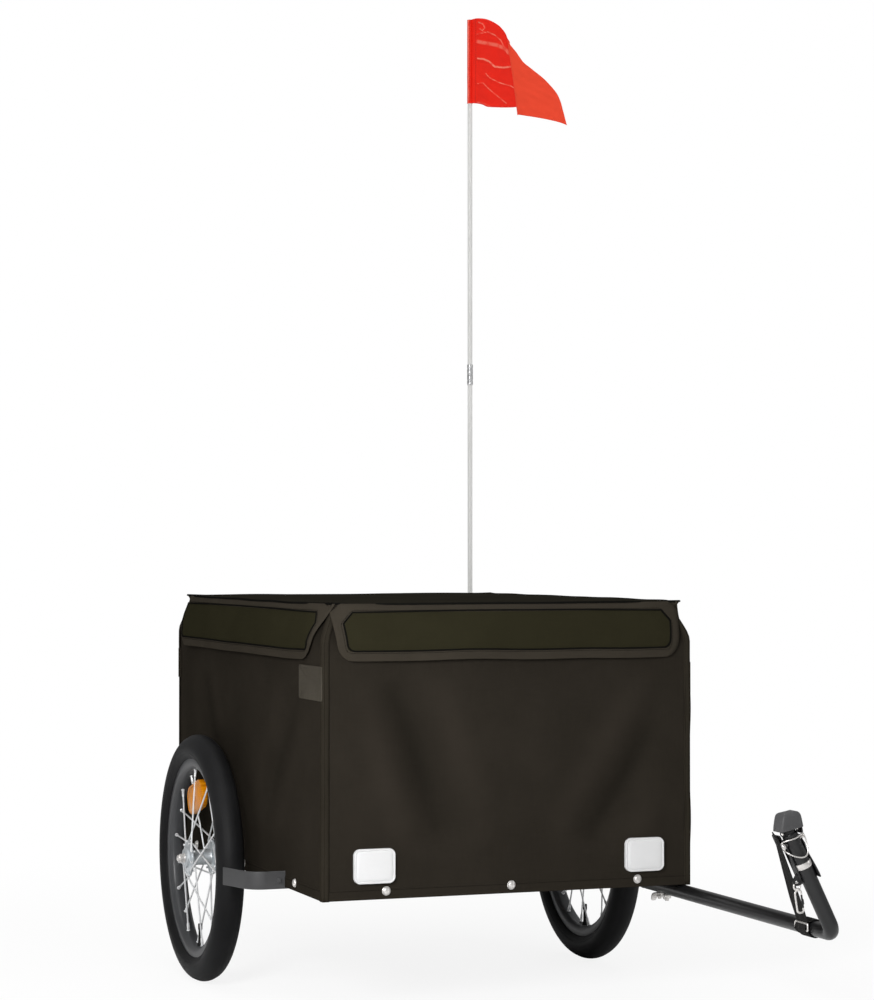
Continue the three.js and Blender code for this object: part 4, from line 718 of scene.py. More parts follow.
def facing(direction, up=(0, 0, 1)):
    """Turns Z to a direction, with Y as near as can be to up."""
    z = np.asarray(direction, float)
    z /= np.linalg.norm(z)
    y = np.asarray(up, float)
    y = y - z * (y @ z)
    y /= np.linalg.norm(y)
    return np.stack([np.cross(y, z), y, z], 1)


def make(name, patches, material, body, replaces=(), angle=38, closed=True, outward=None, place=None):
    """Builds one piece from patches of (places in millimetres, cloth places in metres, edge places)."""
    verts, faces, uvs, edges = [], [], [], []
    for patch in patches:
        places, uv = patch[0], patch[1]
        if place is not None:
            places = place(places)
        rows, columns = places.shape[:2]
        first = len(verts)
        verts.extend(places.reshape(-1, 3))
        uvs.extend(uv.reshape(-1, 2))
        edges.extend(patch[2].reshape(-1, 2) if len(patch) > 2 else uv.reshape(-1, 2))
        for r in range(rows - 1):
            for c in range(columns - 1):
                a = first + r * columns + c
                faces.append((a, a + 1, a + columns + 1, a + columns))
    verts = np.array(verts) * 0.001 + (forward, 0, 0)
    mesh = bpy.data.meshes.new(name)
    mesh.from_pydata(verts.tolist(), [], faces)
    corners = np.empty(len(mesh.loops), int)
    mesh.loops.foreach_get("vertex_index", corners)
    for layer, values in (("place", uvs), ("edge", edges)):
        mesh.uv_layers.new(name=layer).data.foreach_set("uv", np.array(values, float)[corners].ravel())
    bm = bmesh.new()
    bm.from_mesh(mesh)
    bmesh.ops.remove_doubles(bm, verts=bm.verts, dist=2e-6)
    bmesh.ops.dissolve_degenerate(bm, edges=bm.edges, dist=1e-7)
    if closed:
        bmesh.ops.recalc_face_normals(bm, faces=bm.faces)
    elif outward is not None:
        bm.normal_update()
        if sum(f.normal.dot(Vector(outward)) * f.calc_area() for f in bm.faces) < 0:
            bmesh.ops.reverse_faces(bm, faces=bm.faces)
    bm.to_mesh(mesh)
    bm.free()
    mesh.polygons.foreach_set("use_smooth", [True] * len(mesh.polygons))
    mesh.set_sharp_from_angle(angle=math.radians(angle))
    mesh.materials.append(finish[material])
    piece = bpy.data.objects.new(name, mesh)
    bpy.context.scene.collection.objects.link(piece)
    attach(piece, body)
    if replaces:
        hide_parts(*replaces)
    return piece


def thicken(piece, millimetres):
    """Gives a sheet its thickness, inwards from its outer face."""
    solid = piece.modifiers.new("cloth_thickness", "SOLIDIFY")
    solid.thickness = millimetres * 0.001
    solid.offset = -1
    solid.use_even_offset = False


def rod(start, end, radius, steps):
    """A straight round bar."""
    path = np.linspace(start, end, 2)
    direction = path[-1] - path[0]
    up = (0, 0, 1) if abs(direction[2]) < 0.9 * np.linalg.norm(direction) else (1, 0, 0)
    return swept(path, circle(radius, steps), up)


def turned_on(profile, start, direction, steps=32):
    """A profile of (radius, along) turned about a line from start."""
    patch = turned(profile, steps)
    turn = facing(direction, (0.12, 0.31, 0.94)) @ about("x", 90)
    return moved(patch, turn, start)


def ease(share, width):
    """Rises from 0 to 1 over the width, with no sudden change."""
    part = np.clip(share / width, 0, 1)
    return part * part * (3 - 2 * part)


def bell(distance, width):
    """1 at no distance, falling off smoothly over the width."""
    return math.exp(-(distance / width) ** 2)


def ripple(x, y, scale, seed=0.0):
    return noise.noise(Vector((x * scale, y * scale, seed)))


# ---------------------------------------------------------------- tub cloth

wall_folds = {
    "front": ((0.2, 0.72, 0.31, 0.24), (0.96, 0.68, 0.74, 0.2)),
    "rear": ((0.14, 0.7, 0.34, 0.22), (0.82, 0.72, 0.64, 0.26)),
    "left": ((0.16, 0.68, 0.3, 0.3), (0.86, 0.7, 0.72, 0.28)),
    "right": ((0.2, 0.7, 0.34, 0.26), (0.84, 0.66, 0.68, 0.3)),
}
fold_depth = {"front": 12.0, "rear": 9.0, "left": 5.0, "right": 4.0}
wall_turn = {"front": 90, "rear": -90, "left": 180, "right": 0}
wall_shift = {"front": (front, 0, 0), "rear": (-front, 0, 0), "left": (0, side, 0), "right": (0, -side, 0)}


def wall_depth(name, width, across, up):
    """How far the cloth stands out of its flat plane, how much painted shade it gets deep in a fold and under
    the cover's corners, and how much painted light high on a fold's side.
    """
    height = wall_top - hem
    flat_ends, flat_foot, flat_top = 0.045, 0.09, flap_drop / height
    calm = (ease(across - flat_ends, 0.12) * ease(1 - across - flat_ends, 0.12)
            * ease(up - flat_foot, 0.14) * ease(1 - up - flat_top, 0.14))
    shading = 1.0 if name in ("front", "rear") else 0.45
    depth, painted_valley_shade, painted_brow_light = 4.0, 0.0, 0.0
    for x0, z0, x1, z1 in wall_folds[name]:
        a, b, p = (np.array((x * width, z * height)) for x, z in ((x0, z0), (x1, z1), (across, up)))
        share = np.clip((p - a) @ (b - a) / ((b - a) @ (b - a)), 0, 1)
        away = np.linalg.norm(a + (b - a) * share - p)
        depth -= fold_depth[name] * (bell(away, 38) + 0.3 * bell(away, 13))
        fades = (0.5 + 0.5 * math.sin(math.pi * share)) * shading
        painted_valley_shade += fades * (0.65 * bell(away, 26) + 0.5 * bell(away, 9))
        painted_brow_light += fades * bell(away - 62, 26)
    seed = ord(name[0])
    depth += 1.3 * ripple(across * width, up * height, 0.009, seed)
    small = 0.35 * ripple(across * width, up * height, 0.022, 7.0 + seed) * ease(up, 0.06)
    # painted shade near the corners, just under the cover
    painted_corner_shade = float((1 - ease(min(across, 1 - across) * width, 62)) * ease((up - 1) * height + 74, 34))
    return calm * depth + small, min(calm * painted_valley_shade + 1.6 * painted_corner_shade, 2), min(calm * painted_brow_light * 0.5, 1)


def drawn_in(from_corner, z):
    """How far the cloth leans in at the top of the tub, most of all at its corners."""
    everywhere, at_corner, reach = 3.0, 16.0, 48
    low, rise = 562, 58
    return (everywhere + at_corner * bell(from_corner, reach)) * float(ease(z - low, rise))


def add_walls():
    """Four cloth walls with their hems, and the tabs and tapes sewn on at the corners."""
    heights = [hem, hem + 1.2, hem + 8, hem + 14.4, hem + 15.4] + list(np.linspace(hem + 22, wall_top, 58))
    for name, turn in wall_turn.items():
        width = 2 * side if name in ("front", "rear") else 2 * front - 3.8
        shares = np.linspace(0, 1, 73)
        places = np.empty((len(heights), len(shares), 3))
        folds = np.empty((len(heights), len(shares), 2))
        for r, z in enumerate(heights):
            for c, across in enumerate(shares):
                up = (z - hem) / (wall_top - hem)
                hem_step = 0.8 if z < hem + 15 else 0.0
                lean_in = drawn_in(min(across, 1 - across) * width, z)
                # folds holds the painted fold shade and the painted brow light for the edge layer
                depth, *folds[r, c] = wall_depth(name, width, across, up)
                places[r, c] = ((across - 0.5) * (width - 2 * drawn_in(0, z)), lean_in - depth - hem_step, z)
        uv = grid(shares * width * 0.001, (np.array(heights) - hem) * 0.001)
        patch = moved((places, uv), about("z", turn), wall_shift[name]) + (folds,)
        outward = about("z", turn) @ np.array((0, -1, 0))
        piece = make(f"{name}_wall", [patch], "wall", "tub", [f"fabric_{name}"],
                     closed=False, outward=outward)
        thicken(piece, 1.3)
    tabs = add_corner_tabs()
    seams = add_corner_seams()


def add_corner_tabs():
    """Loop-pile tabs: along the side walls at the front, and folded round the corners at the rear."""
    tabs = {}
    middle_z = 505.5
    for name, facing_side in sides:
        outline = rounded(117, 51, 3.2, 4)
        far = outline[:, 0] < 0
        outline[far, 0] = np.maximum(outline[far, 0], -58.5 + 9 * (np.abs(outline[far, 1]) / 25.5) ** 3)
        rows, uv = layered(outline, [(0, 0), (0, 1.7), (0.7, 2.4), (2.5, 2.3)])
        rows = np.stack([rows[..., 0] + front - 59.2, facing_side * (side + rows[..., 2]),
                         rows[..., 1] + middle_z], -1)
        tabs[name] = [make(f"{name}_front_tab", [(rows, uv)], "tab", "tub")]
        corners = [(-front + 15, side + 1.3, 0), (-front - 1.4, side + 1.3, 0), (-front - 1.4, side - 96, 0)]
        line = bends(corners, 2.4, 4) * (1, facing_side, 1) + (0, 0, middle_z)
        fold = swept(line, rounded(51, 2.0, 0.9, 3), (0, 0, 1))
        tabs[name].append(make(f"{name}_rear_tab", [fold], "seam", "tub"))
    return tabs


def add_corner_seams():
    """A folded tape down each corner, over the edges of both walls."""
    seams = {"front": [], "rear": []}
    line = np.array([(-11.0, 0.0), (-9.6, 1.0), (-4.5, 1.15), (-1.6, 1.1), (-0.5, 0.5), (0.1, -1.4),
                     (0.15, -8.6), (-0.6, -9.4), (-1.6, -9.0)])
    lower = line[:, 1] < -1
    heights = np.linspace(hem - 0.5, wall_top - 1, 60)
    for end_name, end in tub_ends:
        for side_name, facing_side in sides:
            rows = np.empty((len(heights), len(line), 3))
            for r, z in enumerate(heights):
                sway = 0.5 * ripple(z, 0.0, 0.02, end * 3.0 + facing_side)
                drift = 1.6 * ripple(z, 0.0, 0.012, 11.0 + end * 3.0 + facing_side) * float(ease(z - hem, 40))
                inwards = drawn_in(0, z) - max(drift, 0.0)
                rows[r, :, 0] = end * (front + line[:, 1] + 0.35 - inwards)
                rows[r, :, 1] = facing_side * (side + 0.9 + line[:, 0] + sway * (line[:, 0] < -4) - inwards)
                rows[r, lower, 1] = facing_side * (side + 1.2 - inwards)
                rows[r, :, 2] = z
            uv = grid(lengths(line), heights * 0.001)[..., ::-1]
            seam = make(f"{end_name}_{side_name}_seam", [(rows, uv)], "seam", "tub",
                        closed=False, outward=(end, facing_side, 0))
            thicken(seam, 0.7)
            seams[end_name].append(seam)
    return seams


# ---------------------------------------------------------------- cover

# each flap's turn about Z, its place, its width at the top and how far its ends draw in towards the foot
flap_frames = {
    "right": (0, (0, -side, 0), 2 * front - 8, 62.0),
    "left": (180, (0, side, 0), 2 * front - 8, 62.0),
    "front": (90, (front, 0, 0), 2 * side - 26, 10.0),
    "rear": (-90, (-front, 0, 0), 2 * side - 26, 10.0),
}
cover_half = {"right": front, "left": front, "front": side, "rear": side}


def flap_half(name, down):
    """Half the flap's width at a distance below the top edge, narrower round its lower corners."""
    _, _, width, inset = flap_frames[name]
    corner = 26.0
    below = max(down - (flap_drop - corner), 0.0)
    rounding = corner - math.sqrt(max(corner ** 2 - below ** 2, 0.0))
    return width / 2 - inset * down / flap_drop - 0.8 * rounding


def flap_place(name, x, down, lift=0.0):
    """A point of the flap's outer face in the tub's frame."""
    turn, shift, width, inset = flap_frames[name]
    reach = width / 2 - inset * down / flap_drop
    fullness, rear_curl = 11, 10
    seed = ord(name[0])
    swell = math.sin(math.pi * min(down / flap_drop, 1) * 0.72) * (1 - 0.75 * min(abs(x) / reach, 1) ** 4)
    wave = ripple(x, down * 0.4, 0.012, 20.0 + seed) * 1.6 * min(down / 40, 1)
    drop = 3.2 * ripple(x, 0.0, 0.007, 40.0 + seed) * down / flap_drop
    z = cover_top - 0.8 - down * 0.985 + drop
    lean_in = drawn_in(cover_half[name] - abs(x), z)
    outer = min(0.6 + down * 0.14, 2.3)
    curl = 0.0
    if name in ("left", "right"):
        from_rear = reach + (x if name == "right" else -x)
        curl = rear_curl * bell(from_rear, 70) * (down / flap_drop) ** 1.5
    point = np.array((x, lean_in - outer - fullness * swell - curl - 0.6 * wave - lift, z))
    return about("z", turn) @ point + np.asarray(shift, float)


def add_cover():
    """One sewn sheet: four hanging flaps and the top, with its piping and its corners' points."""
    patches = []
    downs = np.concatenate([np.linspace(0, 58, 13), 59.8 + 26 * np.sin(np.linspace(0.05, math.pi / 2, 12))])
    shares = np.linspace(-1, 1, 97)
    for name in flap_frames:
        rows = np.empty((len(downs), len(shares), 3))
        uv = np.empty((len(downs), len(shares), 2))
        edge = np.empty((len(downs), len(shares), 2))
        for r, down in enumerate(downs):
            half = flap_half(name, down)
            for c, share in enumerate(shares):
                x = share * half
                rows[r, c] = flap_place(name, x, down)
                uv[r, c] = (x * 0.001, down * 0.001)
                to_side, to_foot = half - abs(x), flap_drop - down
                to_corner = (to_side + down - 46.0) * 0.7 + 14.5
                edge[r, c] = (min(to_side, to_foot, down + 1.5, to_corner, 38.0) * 0.001,
                              (x if min(to_foot, down) < to_side else down) * 0.001)
        patches.append((rows, uv, edge))
    lengthwise, crosswise = (np.sign(s) * (1 - (1 - abs(s)) ** 1.5)
                             for s in (np.linspace(-1, 1, 69), np.linspace(-1, 1, 53)))
    rows = np.array([[top_place(u, v) for u in lengthwise] for v in crosswise])
    inside_edge = np.full(rows.shape[:2] + (2,), (0.04, 0))
    patches.append((rows, rows[:, :, :2] * 0.001, inside_edge))
    beaks = corner_beaks()
    cover = make("cover_sheet", patches, "cover", "cover", ["cover"], closed=False)
    orient_cover(cover)
    thicken(cover, 1.5)
    piping = add_piping()


def corner_beaks():
    """The folded cloth under each corner's point, deeper away from its tip."""
    patches = []
    reach, depth, inwards = 30, 36, 4
    for sign_x, sign_y in ((1, 1), (1, -1), (-1, 1), (-1, -1)):
        rows = []
        for back in np.linspace(0.02, 1, 10):
            first = top_place(sign_x * (1 - back * reach / front), sign_y)
            last = top_place(sign_x, sign_y * (1 - back * reach / side))
            sag = (-sign_x * inwards * back, -sign_y * inwards * back, -depth * min(back / 0.45, 1) ** 0.9)
            under = (first + last) / 2 + sag
            ring = [first * (1 - s) ** 2 + under * 2 * s * (1 - s) + last * s ** 2
                    for s in np.linspace(0, 1, 13)]
            ring += [last * (1 - s) + first * s for s in np.linspace(0, 1, 5)[1:]]
            rows.append(np.array(ring) - (0, 0, 0.9))
        tip, middle = (np.repeat(rows[i].mean(0)[None], len(rows[i]), 0) for i in (0, -1))
        rows = np.array([tip] + rows + [middle])
        patches.append((rows, rows[:, :, :2] * 0.001, np.full(rows.shape[:2] + (2,), 0.004)))
    return make("cover_corner_beaks", patches, "cover", "cover", angle=60)


def top_place(u, v, lift=0.0):
    """A point of the cover's top from its shares along and across: it sags, with a point at each corner."""
    to_end, to_side = front - abs(u) * front, side - abs(v) * side
    x = u * (front + 0.6 - drawn_in(to_side, cover_top))
    y = v * (side + 0.6 - drawn_in(to_end, cover_top))
    near = max(1 - to_end / 26, 0) * max(1 - to_side / 26, 0)
    point = 7.0 * near ** 1.3
    calm = (1 - u * u) * (1 - v * v)
    z = cover_top - 3 * calm - 0.05 + 0.7 * ripple(x, y, 0.007, 3.0) * min(calm * 3, 1)
    wavy = 1.0 * ripple(x, y, 0.011, 8.0) - 0.9
    z = z + wavy * (1 - near) * (1 - calm) + lift
    return np.array((x + math.copysign(point, u), y + math.copysign(point, v), z))


def orient_cover(cover):
    """Turns every face of the cover outwards, away from the middle of the load space."""
    bm = bmesh.new()
    bm.from_mesh(cover.data)
    bm.normal_update()
    middle = Vector((forward, 0, 0.45))
    wrong = [f for f in bm.faces if f.normal.dot(f.calc_center_median() - middle) < 0]
    bmesh.ops.reverse_faces(bm, faces=wrong)
    bm.to_mesh(cover.data)
    bm.free()


def add_piping():
    """Thin cords: one round each flap's panel and one along each top edge."""
    made = []
    corner, low, high, in_from_side = 12.0, flap_drop - 15.0, 13.0, 15.5
    for name in flap_frames:
        half = [(flap_half(name, down) - in_from_side - max(0.0, high + 16.5 - down), down)
                for down in np.linspace(high, low - corner, 12)]
        foot = flap_half(name, low - corner) - in_from_side
        for turn in np.linspace(0, math.pi / 2, 8)[1:]:
            half.append((foot - corner * (1 - math.cos(turn)), low - corner + corner * math.sin(turn)))
        full = ([(-x, down) for x, down in half]
                + [(x, low) for x in np.linspace(-foot + corner, foot - corner, 60)[1:-1]]
                + [(x, down) for x, down in reversed(half)])
        across = flap_half(name, high) - 32
        full += [(x, high - 2.0 * (1 - (x / across) ** 2)) for x in np.linspace(across, -across, 60)[1:]]
        path = np.array([flap_place(name, x, down, 0.5) for x, down in full])
        cord = swept(path, circle(1.25, 8), (0, 0, 1), closed=True)
        made.append(make(f"{name}_flap_piping", [cord], "piping", "cover"))
    rim = []
    for x0, y0, x1, y1 in ((-1, -1, 1, -1), (1, -1, 1, 1), (1, 1, -1, 1), (-1, 1, -1, -1)):
        for share in (1 - np.cos(np.linspace(0, math.pi, 90)[:-1])) / 2:
            rim.append(top_place(x0 + (x1 - x0) * share, y0 + (y1 - y0) * share, -0.6))
    cord = swept(np.array(rim + rim[:1]), circle(1.7, 8), (0, 0, 1), closed=True)
    made.append(make("top_edge_piping", [cord], "piping", "cover"))
    return made


# ---------------------------------------------------------------- frame


def dress_frame():
    """Finishes for the CAD nodes that stay as they are."""
    kept = {
        "steel": ["base_rail_left", "base_rail_right", "base_rail_front", "base_rail_rear", "axle_beam",
                  "drawbar_bracket"],
        "board": ["floor_panel"],
        "hub": [f"{part}_{name}" for part in ("bearing_outer", "bearing_inner", "axle") for name, _ in sides],
    }
    for key, names in kept.items():
        for name in names:
            node = nodes[name]
            if not node.material_slots:
                node.data.materials.append(finish[key])
            for place in node.material_slots:
                place.material = finish[key]
            node.data.polygons.foreach_set("use_smooth", [True] * len(node.data.polygons))
            node.data.set_sharp_from_angle(angle=math.radians(34))


def add_upper_frame():
    """Bent hoops with wide corners, their legs leaning in a little, and the rails between them."""
    middle_x, middle_y, top = front - 11.9, side - 11.9, wall_top - 9.5 - 3.2
    for name, end in tub_ends:
        leg = [(end * middle_x, -middle_y, 210.3), (end * middle_x, -middle_y, 520),
               (end * (middle_x - 14), -middle_y + 17, top)]
        corners = leg + [(x, -y, z) for x, y, z in reversed(leg)]
        tube = swept(bends(corners, 30, 12), circle(9.5, 20), (1, 0, 0))
        make(f"{name}_frame_hoop", [tube], "steel", "tub", [f"hoop_{name}"])
    for name, facing_side in sides:
        y = facing_side * (middle_y - 13)
        tube = rod((-middle_x + 22, y, top), (middle_x - 22, y, top), 9.5, 20)
        collars = [rod((end * (middle_x - 28), y, top), (end * (middle_x - 21), y, top), 10.4, 20)
                   for end in (1, -1)]
        make(f"{name}_frame_rail", [tube] + collars, "steel", "tub", [f"top_rail_{name}"])


def add_hem_screws():
    """Domed heads of the screws through the hem, with a thin washer."""
    profile = [(0, -0.5), (6.6, -0.5), (6.7, 0.3), (6.1, 0.6), (6.1, 1.2), (5.4, 2.4), (3.8, 3.4),
               (1.9, 3.8), (0, 3.9)]
    places, z = [], 200
    for share in (0.165, 0.5, 0.85):
        places += [((front + 0.8, (share - 0.5) * 2 * side, z), (1, 0, 0)),
                   ((-front - 0.8, (0.5 - share) * 2 * side, z), (-1, 0, 0)),
                   ((front - share * 2 * front, -side - 0.8, z), (0, -1, 0)),
                   ((front - share * 2 * front, side + 0.8, z), (0, 1, 0))]
    patches = [turned_on(profile, start, direction, 28) for start, direction in places]
    make("hem_screws", patches, "bolt", "tub")


def add_reflectors():
    """Bowed rounded lenses in a rim: clear at the front, red at the rear."""
    levels = [(0, 0), (0, 5.4), (0.5, 6.3), (1.4, 6.7), (2.3, 6.5), (2.9, 5.9), (3.6, 5.9), (5, 6.9),
              (9, 7.5), (16, 7.9)]
    kinds = ((66, 53, side - 78.5, "clear"), (56, 40, side - 96.5, "red"))
    for (end_name, end), (width, height, from_middle, key) in zip(tub_ends, kinds):
        for side_name, facing_side in sides:
            outline = rounded(width - 4, height - 3, 8, 6)
            bowed = outline / (width / 2 - 2, height / 2 - 1.5)
            outline = outline + np.sign(outline) * np.stack(
                [2.0 * (1 - bowed[:, 1] ** 2), 1.5 * (1 - bowed[:, 0] ** 2)], 1) * (np.abs(bowed) > 0.5)
            place = (end * (front + 0.3), facing_side * from_middle, 211 + height / 2)
            patch = moved(layered(outline, levels), facing((end, 0, 0)), place)
            make(f"{side_name}_{end_name}_reflector", [patch], key, "tub",
                 [f"{end_name}_reflector_{side_name}"], angle=50)


def add_guards():
    """Flat strips on edge, out of the rail and back round the front of the tyre."""
    root, z = axle_x + 200 + 120, 197.5
    for name, facing_side in sides:
        corners = [(root, facing_side * 290, z), (root, facing_side * (side + 53), z),
                   (root - 78, facing_side * (side + 75), z)]
        path = bends(corners, 30, 14)
        strip = swept(path + (0, 0, 1.2), rounded(27.4, 3, 1.3, 4), (0, 0, 1))
        screw = turned_on([(0, 0), (4.2, 0), (4.2, 1.0), (3.2, 2.2), (0, 2.6)],
                          (root + 1.4, facing_side * 306, z), (1, 0, 0))
        make(f"{name}_guard", [strip, screw], "guard", "tub", [f"wheel_guard_{name}"])


# ---------------------------------------------------------------- wheels


def wheel_frame(facing_side):
    turn = about("z", 0 if facing_side > 0 else 180)
    return lambda places: places @ turn.T + (axle_x, facing_side * wheel_y, wheel_z)


def spoke_line(flange, i):
    """Where a spoke leaves its flange and where it meets the rim."""
    lean = 1 if i % 2 == 0 else -1
    step = 2 * math.pi / 10
    hub_angle = i * step + flange * step / 4
    rim_angle = hub_angle + lean * 2 * step
    hub_radius, rim_radius = 27.2, 143.2
    start = np.array((hub_radius * math.sin(hub_angle), flange * (19.5 + lean * 2.3),
                      hub_radius * math.cos(hub_angle)))
    end = np.array((rim_radius * math.sin(rim_angle), flange * 2.4, rim_radius * math.cos(rim_angle)))
    return start, end, lean


def add_tyre(name, body, place):
    """Tyre with grooves and side ribs, and the tube inside it with its valve."""
    middle, outer, half_width = 178, 22, 22.5
    crown = []
    for turn in np.linspace(-2.42, 2.42, 41):
        radius, across = middle + outer * math.cos(turn), half_width * math.sin(turn)
        for groove in (-9.5, 9.5):
            radius -= 0.9 * bell(across - groove, 1.1) * (math.cos(turn) > 0.6)
        crown.append((radius, across))
    bead = [(160.8, 12.6), (156, 12.0), (154, 9.0), (157, 8.6), (161.5, 12.6)]
    inside = [(middle + 18.4 * math.cos(t), 18.9 * math.sin(t)) for t in np.linspace(2.38, -2.38, 15)]
    tyre = turned(crown + bead + inside + [(r, -y) for r, y in reversed(bead)], 120, closed=True)
    ribs = [turned([(r, s * (y - 0.2)), (r + 0.5, s * (y + 0.45)), (r + 1.3, s * (y - 0.2))], 120,
                   closed=True)
            for s in (1, -1) for r, y in ((166.4, 19.1), (170.5, 21.2))]
    make(f"{name}_tyre", [tyre] + ribs, "tyre", body, [f"tyre_{name}"], place=place)

    around = np.linspace(-math.pi, math.pi, 25)[:-1]
    tube = turned([(middle + 17.6 * math.cos(t), 18.0 * math.sin(t)) for t in around], 64, closed=True)
    stem = turned_on([(0, 0), (4.9, 0), (4.9, 3), (4.0, 4.6), (3.2, 7), (2.9, 24), (2.9, 26), (3.6, 26.3),
                      (3.6, 34.6), (3.0, 36), (0, 36)], (0, 0, -144), (0, 0, 1), 20)
    make(f"{name}_inner_tube", [tube, stem], "tube", body, [f"inner_tube_{name}"], place=place)


def add_spokes(name, body, place):
    """Spokes with their heads at the flange and their nipples at the rim."""
    head = [(0, -1.1), (1.5, -1.0), (2.0, -0.3), (1.9, 0.2), (0, 0.3)]
    nipple = [(0, -13.2), (1.7, -13.2), (2.1, -12.4), (2.35, -6), (2.35, -1.2), (3.1, -0.6), (3.1, 0.4),
              (0, 0.5)]
    for flange, label in ((1, "outer"), (-1, "inner")):
        patches = []
        for i in range(10):
            start, end, lean = spoke_line(flange, i)
            along = (end - start) / np.linalg.norm(end - start)
            root = np.array((start[0], flange * (19.5 - lean * 3.2), start[2]))
            elbow = np.array((start[0], flange * (19.5 + lean * 2.9), start[2]))
            patches.append(swept(bends([root, elbow, end], 2.2, 5), circle(1.4, 10), (0.3, 0.2, 0.9)))
            patches.append(turned_on(head, root, (0, flange * lean, 0), 14))
            patches.append(turned_on(nipple, end, along, 12))
        make(f"{name}_{label}_spokes", patches, "spoke", body, [f"spokes_{label}_{name}"],
             place=place)


def add_cap_nut(name, place):
    """Six-sided nut with a domed cap and a flange, on the stub axle's end."""
    nut = layered(hexagon(7.5, 6), [(0.7, 0), (0, 0.6), (0, 6.4), (0.6, 7.0), (2.2, 7.1)])
    nut = moved(nut, facing((0, 1, 0)), (0, 27.6, 0))
    dome = turned_on([(0, 0), (5.6, 0), (5.6, 2.4), (5.0, 3.9), (3.6, 4.9), (1.9, 5.4), (0, 5.5)],
                     (0, 34.2, 0), (0, 1, 0), 32)
    flange = turned_on([(0, 0), (8.2, 0), (8.2, 0.8), (7.6, 1.2), (0, 1.2)], (0, 27.2, 0), (0, 1, 0), 40)
    make(f"{name}_cap_nut", [nut, dome, flange], "bolt", "tub", [f"axle_nut_{name}"],
         place=place)


def add_spoke_reflector(name, body, place):
    """Waisted amber lens between the spokes, with a round lobe at each end and a ridge across."""
    outline = rounded(88, 47, 19, 8)
    outline[:, 1] *= 1 - 0.14 * np.exp(-(outline[:, 0] / 9) ** 2)
    lens = layered(outline, [(1.5, -6), (0.4, -5.2), (0, -4.2), (0, 3.6), (0.6, 4.8), (2.0, 5.3), (3.0, 4.8),
                             (4.0, 4.8), (7.0, 5.7), (15, 6.3)])
    lobes = [turned_on([(0, 0), (15.5, 0), (15.5, 5.2), (13, 6.3), (8, 7.2), (0, 7.6)], (along, 0, 0),
                       (0, 0, 1), 40) for along in (-21, 21)]
    ridge = layered(rounded(30, 7, 2.6, 4), [(0, 0), (0, 6.8), (1.0, 7.6), (2.4, 7.8)])
    ridge = moved(ridge, about("z", 90))
    tilt = math.radians(17)
    turn = np.array([(-math.cos(tilt), math.sin(tilt), 0), (0, 0, 1), (math.sin(tilt), math.cos(tilt), 0)])
    patches = [moved(patch, turn, (18, 0.6, 97)) for patch in [lens, ridge] + lobes]
    make(f"{name}_spoke_reflector", patches, "amber", body, [f"spoke_reflector_{name}"],
         angle=45, place=place)


def add_wheel(name, facing_side):
    place = wheel_frame(facing_side)
    body = f"wheel_{name}"
    add_tyre(name, body, place)
    half = [(144, 5.5), (145.2, 8.8), (149, 12.4), (151.5, 13.6), (160.2, 13.8), (161.4, 13.4), (161.4, 12.6),
            (154.5, 12.2), (153, 11), (153, 7.6), (149.6, 5.2)]
    rim = turned(mirrored(half), 120, closed=True)
    make(f"{name}_rim", [rim], "rim", body, [f"rim_{name}"], angle=30, place=place)
    add_spokes(name, body, place)
    half = [(12.4, 0), (12.4, 12), (13.6, 16.2), (17.5, 17.9), (28.2, 18.1), (29, 18.8), (29, 20.2),
            (28.3, 20.9), (18.6, 21.1), (16.4, 22.4), (16.0, 26), (15.2, 27), (13.3, 27), (13.3, 18.6),
            (7.2, 18.4), (7.2, 0)]
    hub = turned(mirrored(half, 1), 48, closed=True)
    make(f"{name}_hub", [hub], "hub", body, [f"hub_{name}"], angle=30, place=place)
    add_cap_nut(name, place)
    add_spoke_reflector(name, body, place)


# ---------------------------------------------------------------- drawbar and hitch

bar_y, bar_z, bend_x = 290.0, 175.5, 872.0
bar_radius = 11.1
lean = 26.0
# turns a flat plate onto its edge, with its height along Y
on_edge = np.array([(1, 0, 0), (0, 0, 1), (0, 1, 0)])


def hitch_frame(places):
    """From the upright's frame, Z up along the tube, to the tub's frame."""
    return places @ about("x", lean).T + (bend_x, bar_y, bar_z)


def on_hitch(*point):
    """One point of the upright's frame in the tub's frame."""
    return hitch_frame(np.array([point], float))[0]


def add_drawbar():
    """The bent tube with its rear plug and the bright band on its upright."""
    rear_x = 258
    path = bends([(rear_x, bar_y, bar_z), (bend_x, bar_y, bar_z), on_hitch(0.0, 0.0, 155.0)], 16, 20)
    bar = swept(path, circle(bar_radius, 32), (0, 0, 1))
    make("drawbar_tube", [bar], "paint", "drawbar", ["drawbar"])
    plug = turned_on([(0, 0), (bar_radius, 0), (11.3, -0.8), (10.9, -2.0), (9.6, -3.0), (4, -3.4), (0, -3.4)],
                     (rear_x, bar_y, bar_z), (1, 0, 0), 32)
    make("drawbar_plug", [plug], "plug", "drawbar")
    band = turned_on([(10.9, 0), (12.0, 0), (12.2, 0.5), (12.2, 7.5), (12.0, 8), (10.9, 8)],
                     (0, 0, 104), (0, 0, 1), 40)
    make("drawbar_band", [band], "bolt", "drawbar", place=hitch_frame)


